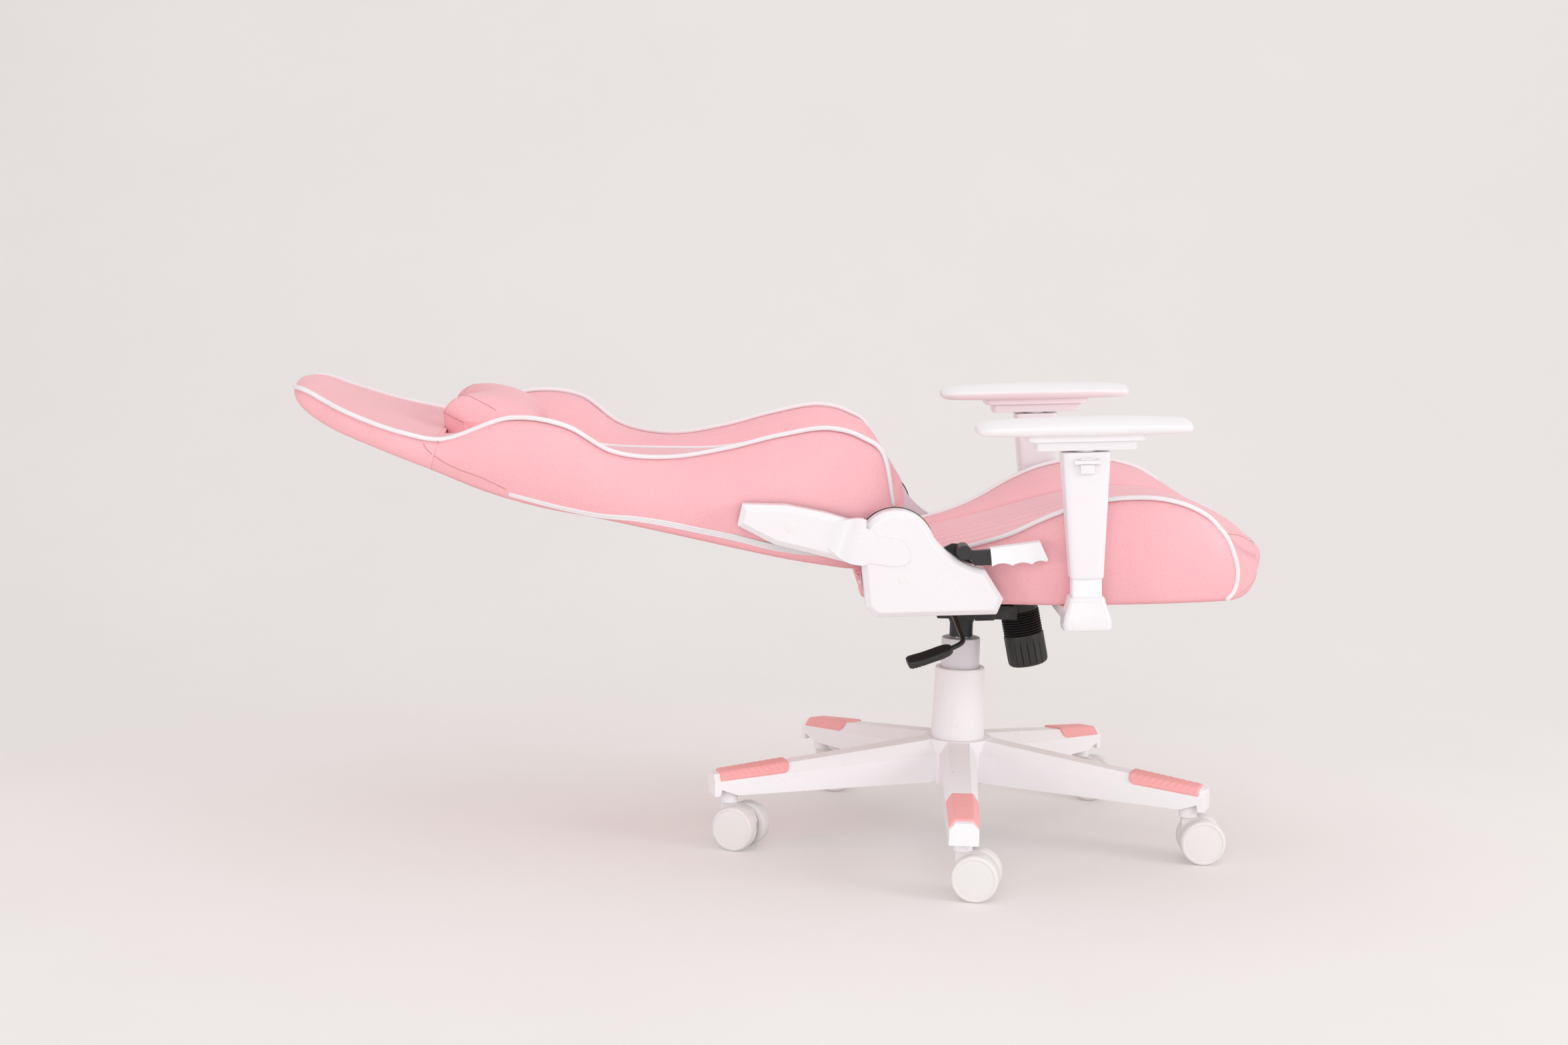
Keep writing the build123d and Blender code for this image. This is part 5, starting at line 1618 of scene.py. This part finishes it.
@dataclass
class StarBase:
    """The five-leg base with its leg pads and the lower column cover."""

    finish: Finishes
    legs: int = 5
    root: float = 20.0
    tip: float = 350.0
    halves: tuple[float, float] = (26.0, 19.0)
    tops: tuple[float, float] = (142.5, 101.0)
    bottoms: tuple[float, float] = (83.0, 72.0)
    flat_share: float = 0.58
    shoulder_share: float = 0.66
    cover_share: float = 0.92
    corner: float = 9.0
    soft_edge: float = 2.6
    pad_start: float = 246.0
    pad_end: float = 342.0
    pad_thick: float = 2.6
    ridge: float = 0.7
    pitch: float = 9.0

    def leg(self, r: float) -> tuple[float, ...]:
        """Return a leg's half width, flat half width, top and shoulder heights at a radius."""
        f = (r - self.root) / (self.tip - self.root)
        half, top, low = (a + (b - a) * f for a, b in (self.halves, self.tops, self.bottoms))
        return half, half * self.flat_share, top, low + self.shoulder_share * (top - low)

    def build(self) -> list[Piece]:
        """Build and dress the base.

        Returns:
            The pieces.
        """
        star = rounded("star_base", "five_leg_base", self.finish.white, 1.6, 2)
        pads = grown(self._pad(), crown_tree(), Count=self.legs, Start=math.radians(LEG_TURN),
                     Finish=self.finish.coral)
        pads.data.set_sharp_from_angle(angle=math.radians(45))
        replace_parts(pads, "leg_pads")
        profile = [(34.0, 140.1), (36.5, 140.1), (36.4, 150), (35.2, 185), (33.9, 225), (33.7, 231),
                   (34.1, 232),
                   (34.1, 236), (33.4, 237.6), (32.2, 238), (28, 238), (27.1, 237.4), (27.0, 235),
                   (30.6, 234.6), (33.2, 160)]
        cover = lathe("column_sleeve_lower", profile, self.finish.white, Matrix(), loop=True)
        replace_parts(cover, "column_cover_lower")
        dressed(["gas_column"], self.finish.bright)
        return [star, pads, cover]

    def _pad(self) -> Piece:
        """Return one soft leg pad along +X with a chevron relief."""
        rows, cols = 66, 37
        outer, inner = [], []
        for r in np.linspace(self.pad_start, self.pad_end, rows):
            half, flat, top, shoulder = self.leg(r)
            near = r - self.pad_start
            round_in = self.corner - math.sqrt(max(0.0, self.corner ** 2 - max(0.0, self.corner - near) ** 2))
            slope = math.hypot(half - flat, top - shoulder)
            reach = flat + self.cover_share * slope - round_in
            for v in np.linspace(-1, 1, cols):
                a = abs(v) * reach
                y = a if a <= flat else flat + (a - flat) * (half - flat) / slope
                z = top if a <= flat else top - (a - flat) * (top - shoulder) / slope
                tilt = min(1.0, max(0.0, (a - flat) / 3.0 + 0.5)) * math.atan2(top - shoulder, half - flat)
                edge = min((1 - abs(v)) * reach, near, self.pad_end - r)
                fall = 1 - min(1.0, edge / self.soft_edge)
                lift = self.pad_thick * math.sqrt(max(0.0, 1 - fall ** 2)) + 0.05
                wave = ((r + 0.75 * a) / self.pitch) % 1.0
                inside = min(1.0, max(0.0, (edge - 3.0) / 2.0))
                lift += inside * self.ridge * (abs(2 * wave - 1) - 0.5)
                sign = 1 if v >= 0 else -1
                outer.append((r, sign * (y + lift * math.sin(tilt)), z + lift * math.cos(tilt)))
                inner.append((r, sign * y, z + 0.03))
        points = np.array(outer + inner) * MM
        faces = grid_faces(rows, cols, False)
        n = rows * cols
        faces += [[n + i for i in face[::-1]] for face in faces]
        rim = list(range(cols)) + [i * cols + cols - 1 for i in range(1, rows)]
        rim += [(rows - 1) * cols + j for j in range(cols - 2, -1, -1)]
        rim += [i * cols for i in range(rows - 2, 0, -1)]
        faces += [[a, n + a, n + b, b] for a, b in zip(rim, rim[1:] + rim[:1])]
        if volume(points, faces) < 0:
            faces = [face[::-1] for face in faces]
        return new_piece("leg_pad_covers", points, faces, [self.finish.coral])


@dataclass
class Casters:
    """Five twin-wheel casters."""

    finish: Finishes
    circle: float = 325.0
    headings: tuple[float, ...] = (-12.0, -2.0, -20.0, 0.0, -28.0)
    trail: float = 19.0
    radius: float = 30.0
    near: float = 9.5
    width: float = 20.0

    def build(self) -> list[tuple[Piece, str]]:
        """Build and dress the casters.

        Returns:
            The pieces with the names of their bodies.
        """
        pieces: list[tuple[Piece, str]] = []
        for index, heading in enumerate(self.headings):
            number = index + 1
            fork = rounded(f"caster_{number}_housing", f"caster_{number}_fork", self.finish.wheel, 1.1, 2)
            pieces.append((fork, f"caster_{number}"))
            a = math.radians(LEG_TURN + 360.0 / len(self.headings) * index)
            h = math.radians(heading)
            hub = (self.circle * math.cos(a) + self.trail * math.cos(h),
                   self.circle * math.sin(a) + self.trail * math.sin(h), self.radius)
            for letter, sign in (("a", -1), ("b", 1)):
                way = Vector((-sign * math.sin(h), sign * math.cos(h), 0))
                wheel = self._wheel(f"caster_{number}_tyre_{letter}", axis_at(hub, way))
                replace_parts(wheel, f"caster_{number}_wheel_{letter}")
                pieces.append((wheel, f"caster_{number}_wheel_{letter}"))
        return pieces

    def _wheel(self, name: str, place: Matrix) -> Piece:
        """Return one wheel with its bore, rounded tread, rim groove and dished face."""
        r, y0, y1 = self.radius, self.near, self.near + self.width
        profile = [(0, y1 - 1.9), (4.05, y1 - 1.9), (4.05, y0), (12, y0), (13, y0 + 1.0), (22, y0 + 1.0),
                   (23, y0),
                   (r - 3.4, y0), (r - 1.4, y0 + 0.7), (r - 0.4, y0 + 2.1), (r, y0 + 4.2), (r, y0 + 8),
                   (r, y1 - 8),
                   (r, y1 - 4.2), (r - 0.4, y1 - 2.1), (r - 1.4, y1 - 0.7), (r - 2.8, y1), (r - 4.0, y1),
                   (r - 4.5, y1 - 0.5), (r - 5.0, y1 - 0.9), (r - 5.6, y1 - 0.7), (r - 9, y1 - 0.45),
                   (9, y1 - 0.25), (0, y1 - 0.2)]
        return lathe(name, profile, self.finish.wheel, place, segments=80)


@dataclass
class Mechanism:
    """Lift, tilt mechanism, tension knob and lift lever."""

    finish: Finishes
    bellows: float = 27.0
    ribs: int = 9
    bellows_length: float = 31.5
    knob: float = 27.5
    knob_length: float = 45.0
    flutes: int = 18
    lever: tuple[float, float, float] = (-20.0, -55.0, 323.5)

    def build(self) -> list[tuple[Piece, Body]]:
        """Build and dress the mechanism.

        Returns:
            The pieces with their bodies.
        """
        profile = [(25.4, 178), (26.5, 178), (26.5, 270), (26.5, 276.6), (26.0, 278.4), (24.8, 279),
                   (13.4, 279), (13.4, 277), (25.4, 277)]
        sleeve = lathe("column_sleeve_upper", profile, self.finish.lilac, Matrix(), loop=True)
        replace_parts(sleeve, "column_cover_upper")
        housing = rounded("mech_housing", "tilt_housing", self.finish.steel, 1.0, 2)
        plate = rounded("tilt_plate", "seat_plate", self.finish.steel, 0.8, 2)
        dressed(["gas_piston"], self.finish.bright)
        dressed(["rock_pin", "tension_spring", "lever_bush"], self.finish.steel)
        rod = self._rod()
        paddle = self._paddle()
        return [(sleeve, Body.LIFT), (housing, Body.SWIVEL), (plate, Body.SEAT),
                (self._bellows(), Body.SWIVEL),
                (self._knob(), Body.KNOB), (rod, Body.LIFT_LEVER), (paddle, Body.LIFT_LEVER)]

    def _bellows(self) -> Piece:
        """Return the ribbed bellows as a stack of soft rings."""
        pitch = self.bellows_length / self.ribs
        r = self.bellows
        ring = [(r - 7, -0.01), (r - 2.6, -0.01), (r - 1.0, -0.22 * pitch), (r - 0.2, -0.38 * pitch),
                (r, -0.5 * pitch), (r - 0.2, -0.62 * pitch), (r - 1.0, -0.78 * pitch),
                (r - 2.6, -pitch + 0.01), (r - 7, -pitch + 0.01)]
        piece = lathe("spring_boot", ring, self.finish.rubber, Matrix(), loop=True)
        grown(piece, stack_tree(), Count=self.ribs, Pitch=-pitch * MM, Finish=self.finish.rubber)
        piece.data.transform(axis_at((KNOB.x, 0, KNOB.z), KNOB.way(0, 0, 1)))
        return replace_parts(piece, "spring_bellows")

    def _knob(self) -> Piece:
        """Return the tension knob with its fluted grip and stud."""
        top = -self.bellows_length - 0.3
        end, r = top - self.knob_length, self.knob
        profile = [(0, 12), (6, 12), (6, top), (r - 2.0, top), (r - 0.4, top - 1.2), (r, top - 3)]
        profile += [(r, top - 3 - 0.125 * k * (self.knob_length - 9)) for k in range(1, 8)]
        profile += [(r - 0.3, end + 5.2), (r - 1.6, end + 2.4), (r - 4.4, end + 0.5), (r - 8, end),
                    (r - 11, end), (r - 12, end + 0.8), (0, end + 0.8)]

        def fluted(a: np.ndarray, radius: float, height: float) -> np.ndarray:
            """Cut the flutes into the lower part of the grip."""
            deep = min(1.0, max(0.0, (top - 9 - height) / 3)) * min(1.0, max(0.0, radius - r + 6) / 4)
            groove = np.maximum(0.0, np.cos(self.flutes * a)) ** 6
            return radius - 1.5 * deep * groove
        piece = lathe("tension_grip", profile, self.finish.black,
                      axis_at((KNOB.x, 0, KNOB.z), KNOB.way(0, 0, 1)), segments=216, shape=fluted)
        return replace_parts(piece, "tension_knob")

    def _rod(self) -> Piece:
        """Return the bent rod of the lift lever."""
        x, y, z = self.lever
        path = np.array([(x, y + 10, z), (x, y - 20, z), (x, y - 48, z), (x + 0.8, y - 62, z - 1.8),
                         (x + 3.4, y - 82, z - 9.6), (x + 6.4, y - 103, z - 18.4),
                         (x + 6.4, y - 110.5, z - 22.2),
                         (x + 1.0, y - 116.5, z - 25.6), (x - 5.5, y - 121.2, z - 28),
                         (x - 13, y - 125.4, z - 30.7)]) * MM
        piece = tube("lift_rod", even(path, 0.003), 3.4 * MM, self.finish.steel, 14)
        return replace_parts(piece, "lift_lever_rod")

    def _paddle(self) -> Piece:
        """Return the lift lever's paddle: a rounded bar with a thumb dip and a notched end."""
        x, y, z = self.lever
        end = np.array((x - 11, y - 125, z - 30))
        way = np.array((-0.938, -0.133, -0.322))
        way /= np.linalg.norm(way)
        up = np.array((-0.322, -0.42, 0.85))
        up -= way * np.dot(up, way)
        up /= np.linalg.norm(up)
        over = np.cross(up, way)
        rows = flow(((-2.0, 5.0, 4.2, 0.0), (2, 8.6, 5.0, 0.0), (10, 10.6, 5.6, 0.2), (24, 11.2, 5.4, 0.5),
                     (38, 11.2, 5.4, 0.5), (50, 11.0, 6.0, 0.1), (56, 10.2, 6.0, -0.4),
                     (59.4, 8.4, 5.0, -0.8)), 1.2)
        a = np.arange(40) * 2 * math.pi / 40
        c, s = np.cos(a), np.sin(a)
        ring = np.column_stack([np.sign(c) * np.abs(c) ** 0.5, np.sign(s) * np.abs(s) ** 0.6])
        rings = []
        for d, wide, thick, drop in rows:
            notch = 1.1 * sum(math.exp(-((d - p) / 1.0) ** 2) for p in (44.0, 48.5, 53.0))
            below = np.where(ring[:, 1] < 0, 1.0 - notch / thick * np.minimum(1.0, -1.5 * ring[:, 1]), 1.0)
            across, upright = np.outer(ring[:, 0] * wide, over), np.outer(ring[:, 1] * thick * below, up)
            rings.append(end + way * d - up * drop + across + upright)
        piece = skin("lift_paddle", np.array(rings) * MM, [self.finish.black])
        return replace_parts(piece, "lift_lever_paddle")


@dataclass
class Armrests:
    """Both armrests: feet and posts on the seat, sleeves, triggers, heads and pads."""

    finish: Finishes
    along: float = 133.0
    out: float = 266.0
    pad_length: float = 267.0
    pad_half: float = 45.0
    rail_top: float = 229.0
    pad_rise: float = 21.5
    foot: tuple = ((-23, 46, 34), (-22.4, 56, 42.6), (-20.5, 61, 47.2), (-17, 62.6, 48.6), (-12, 62.2, 48.4),
                   (-6, 60.4, 47.2), (0, 57, 45.2), (8, 51.3, 42), (14, 47.5, 39.8), (20, 43.4, 37.4),
                   (21, 41, 35))
    post: tuple = ((19.5, 38, 30, .22), (50, 38, 30, .22), (148, 38, 30, .22), (149.6, 36.9, 29.1, .22),
                   (150, 35.3, 27.9, .22))
    sleeve: tuple = ((198.3, 38.8, 30.8, .22), (45, 38.8, 30.8, .22), (44.5, 39.4, 31.4, .22),
                     (44.5, 40.8, 36.4, .3),
                     (45.3, 42.3, 37.8, .3), (47, 42.8, 38.1, .3), (204, 62.2, 41.9, .3),
                     (205.6, 61.8, 41.4, .3),
                     (206.3, 60, 40, .3), (206.3, 12.8, 12.8, 1), (199.1, 12.8, 12.8, 1))
    rail: tuple = ((220.3, 146.4, 53.4, .2), (220.8, 148.4, 55.4, .2), (221.6, 149.4, 56.4, .2),
                   (228.0, 149.6, 56.6, .2), (228.6, 149.0, 56.0, .2))
    pad_end: tuple = ((1.5, 0.88), (2.4, 0.70))
    pad: tuple = ((0.0, .76, 3.0, .66), (0.012, .84, 2.4, .74), (0.04, .91, 1.6, .82), (0.12, .97, 0.8, .90),
                  (0.30, 1.0, 0.2, .97), (0.52, 1.02, 0.0, 1.0), (0.75, 1.0, 0.2, .95), (0.90, .97, 0.6, .86),
                  (0.96, .91, 1.0, .79), (0.988, .84, 1.6, .74), (1.0, .76, 2.4, .66))

    def build(self) -> list[tuple[Piece, str]]:
        """Build and dress the armrests.

        Returns:
            The pieces with the names of their bodies.
        """
        posts = joined("arm_feet", [self._foot(side) for side in Side]
                       + [self._bar("post", side, self.post, self.finish.white) for side in Side])
        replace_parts(posts, "arm_posts")
        pieces: list[tuple[Piece, str]] = [(posts, Body.SEAT.value)]
        for side in Side:
            for part, width, segments in (("trigger", 1.3, 3), ("head", 2.4, 3)):
                node = f"arm_{part}_{side.word}"
                piece = rounded(node, f"arm_{part}_shell_{side.word}", self.finish.gloss, width, segments)
                pieces.append((piece, node))
            sleeve = self._bar("arm_sleeve_shell", side, self.sleeve, self.finish.gloss)
            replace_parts(sleeve, f"arm_sleeve_{side.word}")
            pad, rail = self._pad(side), self._bar("arm_rail", side, self.rail, self.finish.white)
            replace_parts(pad, f"arm_pad_{side.word}")
            pieces += [(sleeve, f"arm_sleeve_{side.word}"), (pad, f"arm_pad_{side.word}"),
                       (rail, f"arm_pad_{side.word}")]
        return pieces

    def _bar(self, name: str, side: Side, rows: tuple, paint: Paint) -> Piece:
        """Return a straight moulding with rounded corners at the arm's place."""
        rings = boxed(rows, self.along, side.value * self.out)
        piece = skin(f"{name}_{side.word}", SEAT.world(rings), [paint])
        piece.data.set_sharp_from_angle(angle=math.radians(40))
        return piece

    def _foot(self, side: Side) -> Piece:
        """Return the flared foot with its two side lobes."""
        rows = flow(self.foot, 1.4)
        rings = boxed(np.column_stack([rows, np.full(len(rows), 0.32)]), 0.0, 0.0)
        for ring, (t, length, width) in zip(rings, rows):
            depth = 0.6 * min(1.0, max(0.0, (20 - t) / 12)) * (np.abs(ring[:, 1]) > 0.45 * width)
            groove = np.exp(-((np.abs(ring[:, 0]) - 0.35 * length) / 2.0) ** 2)
            ring[:, 1] -= np.sign(ring[:, 1]) * depth * groove
        rings += (self.along, side.value * self.out, 0.0)
        return skin(f"foot_{side.word}", SEAT.world(rings), [self.finish.gloss])

    def _pad(self, side: Side) -> Piece:
        """Return the crowned arm pad with soft edges."""
        x0 = self.along - 0.508 * self.pad_length
        rings = []
        for f, wide, low, high in flow([(r[0] * 100, *r[1:]) for r in self.pad], 1.5):
            x, half = x0 + f / 100 * self.pad_length, wide * self.pad_half
            z0, z1 = self.rail_top - 0.5 + low, self.rail_top + high * self.pad_rise
            edge, flat = z0 + 0.55 * (z1 - z0), 0.82 * half
            ring = np.vstack([bow((-flat, z0), (flat, z0), 0.0, 8), bow((flat, z0), (half, edge), -2.2, 6),
                              arc((half, edge), (0.0, z1), (-half, edge), 20),
                              bow((-half, edge), (-flat, z0), -2.2, 6)])
            rings.append(np.column_stack([np.full(len(ring), x), side.value * self.out + ring[:, 0],
                                          ring[:, 1]]))
        front, rear = ([shrunk(ring, way * reach, (1, k, k)) for reach, k in self.pad_end]
                       for ring, way in ((rings[-1], 1), (rings[0], -1)))
        rings = rear[::-1] + rings + front
        piece = skin(f"arm_cushion_{side.word}", SEAT.world(np.array(rings)), [self.finish.arm_pad])
        return subdivided(piece, 1)


@dataclass
class Underside:
    """What carries the seat: pan, plates, brackets and bolts."""

    finish: Finishes
    bolts: tuple = ((-55, -40, 5), (-55, 40, 5), (95, -40, 5), (95, 40, 5), (-95, -160, 6), (-95, 160, 6),
                    (-10, -160, 6), (-10, 160, 6), (133, -136, 14), (133, 136, 14))

    def build(self) -> list[Piece]:
        """Build and dress the underside.

        Returns:
            The pieces.
        """
        dressed(["seat_pan"], self.finish.board)
        dressed(["back_arms", "back_frame"], self.finish.steel)
        dressed(["arm_brackets"], self.finish.white)
        dressed(["recline_pins"], self.finish.bright)
        plates = rounded("recliner_plates", "recliner_side_plates", self.finish.steel, 0.5)
        plates.data.materials.append(self.finish.lilac)
        for face in plates.data.polygons:
            face.material_index = int(face.normal.y * math.copysign(1.0, face.center.y) < -0.9)
        spots = SEAT.world([(s, y, -deep) for s, y, deep in self.bolts])
        piece = spotted("seat_bolt_heads", spots, self._bolt(), self.finish.bright)
        return [plates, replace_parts(piece, "seat_bolts")]

    def _bolt(self) -> Piece:
        """Return one hex bolt with its washer face, head down."""
        def hexed(a: np.ndarray, radius: float, height: float) -> np.ndarray:
            """Give the head six sides."""
            side = radius / np.cos((a + math.pi / 6) % (math.pi / 3) - math.pi / 6) * 0.93
            return side if height < -0.9 else np.full(len(a), radius)
        profile = [(0, 8), (3, 8), (3, 0.0), (6, 0.0), (6, -0.8), (5.6, -0.95), (5.6, -3.6), (5.0, -4.0),
                   (0, -4.0)]
        return lathe("bolt_pattern", profile, self.finish.bright, axis_at((0, 0, 0), SEAT.way(0, 0, 1)),
                     segments=36, shape=hexed)


# Studio

@dataclass
class Studio:
    """Pale floor and cove, soft light and the photograph's camera."""

    eye: tuple[float, float, float] = (-0.3641, -3.7153, 0.9234)
    right: tuple[float, float, float] = (0.99928913, -0.02805875, 0.02517833)
    up: tuple[float, float, float] = (-0.02127266, 0.13171272, 0.99105965)
    forward: tuple[float, float, float] = (0.0311242, 0.99089074, -0.1310222)
    lens: float = 63.04
    lamps: tuple = (("Ceiling softbox", (0.0, -0.2, 3.0), (0.0, 0.0, 0.3), 4.0, 24.0),
                    ("Front softbox", (-0.6, -4.4, 2.0), (-0.1, 0.0, 0.4), 2.6, 38.0),
                    ("Right softbox", (3.4, -1.8, 1.6), (0.0, 0.0, 0.25), 1.6, 42.0),
                    ("Left softbox", (-3.0, -2.4, 0.6), (0.0, 0.0, 0.2), 1.2, 16.0))
    air: float = 0.62
    floor_glow: float = 0.26
    cove_radius: float = 2.2

    def build(self) -> None:
        """Set up camera, light and backdrop."""
        scene = bpy.context.scene
        scene.view_settings.view_transform = "Standard"
        self._camera(scene)
        self._cove()
        for lamp in self.lamps:
            self._light(*lamp)
        world = bpy.data.worlds.new("Studio air")
        scene.world = world
        world.use_nodes = True
        air = world.node_tree.nodes["Background"]
        air.inputs["Color"].default_value = (1.0, 0.99, 0.985, 1.0)
        air.inputs["Strength"].default_value = self.air

    def _camera(self, scene: bpy.types.Scene) -> None:
        """Place the camera as in the photograph."""
        data = bpy.data.cameras.new("Camera")
        data.lens, data.sensor_width = self.lens, 36.0
        data.clip_start, data.clip_end = 0.05, 60.0
        camera = linked("Camera", data)
        turn = Matrix((self.right, self.up, tuple(-v for v in self.forward))).transposed().to_4x4()
        camera.matrix_world = Matrix.Translation(self.eye) @ turn
        scene.camera = camera

    def _cove(self) -> None:
        """Build the floor that sweeps up into a wall."""
        r, start, sweep = self.cove_radius, 1.0, np.linspace(0.08, math.pi / 2, 24)
        line = [(-9.0, 0.0), (start, 0.0)]
        line += [(start + r * math.sin(a), r - r * math.cos(a)) for a in sweep]
        line += [(start + r, 7.0)]
        points = [(x, y, z) for y, z in line for x in (-9.0, 9.0)]
        faces = [(2 * i, 2 * i + 1, 2 * i + 3, 2 * i + 2) for i in range(len(line) - 1)]
        paint, w, shader = fresh("Studio paint")
        where = w.place()
        patch = w.span(w.noise(where, 1.3, 5.0, 0.6), 0.3, 0.7, 0.0, 1.0)
        seen = w.node("ShaderNodeLightPath").outputs["Is Camera Ray"]
        pale, share = w.mix(patch, tone(244, 240, 238), tone(240, 235, 233)), w.span(seen, 0.0, 1.0, 0.0, 0.3)
        w.plug(shader, Base_Color=w.mix(share, pale, (0.0, 0.0, 0.0, 1.0)),
               Emission_Color=tone(246, 241, 240),
               Emission_Strength=w.span(seen, 0.0, 1.0, 0.0, self.floor_glow), Roughness=0.75,
               Specular_IOR_Level=0.2)
        new_piece("studio_cove", np.array(points), faces, [paint])

    def _light(self, name: str, spot: Sequence[float], aim: Sequence[float], size: float,
               power: float) -> None:
        """Add a soft square lamp.

        Args:
            name: The lamp's name.
            spot: Where it stands.
            aim: Where it points.
            size: Its side in metres.
            power: Its power in watts.
        """
        data = bpy.data.lights.new(name, "AREA")
        data.size, data.energy = size, power
        lamp = linked(name, data)
        lamp.location = spot
        lamp.rotation_euler = (Vector(aim) - Vector(spot)).to_track_quat("-Z", "Y").to_euler()


def settle(piece: Piece, body: str) -> None:
    """Let a piece ride on its body and report it."""
    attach(piece, body)
    LOG.info("%s rides on %s, %d faces", piece.name, body, len(piece.data.polygons))


def main() -> None:
    """Build the chair, assembly by assembly."""
    logging.basicConfig(level=logging.INFO, format="%(name)s: %(message)s")
    finish = Finishes()
    Studio().build()
    for piece in StarBase(finish).build():
        settle(piece, Body.BASE.value)
    for piece, name in Casters(finish).build():
        settle(piece, name)
    for piece, body in Mechanism(finish).build():
        settle(piece, body.value)
    for piece in Underside(finish).build() + SeatCushion(finish).build():
        settle(piece, Body.SEAT.value)
    for piece in BackCushion(finish).build():
        settle(piece, Body.BACK.value)
    for piece, body in HingeCovers(finish).build():
        settle(piece, body.value)
    for piece in ReclineLever(finish).build():
        settle(piece, Body.RECLINE_LEVER.value)
    for piece, name in Armrests(finish).build():
        settle(piece, name)


if __name__ == "__main__":
    main()
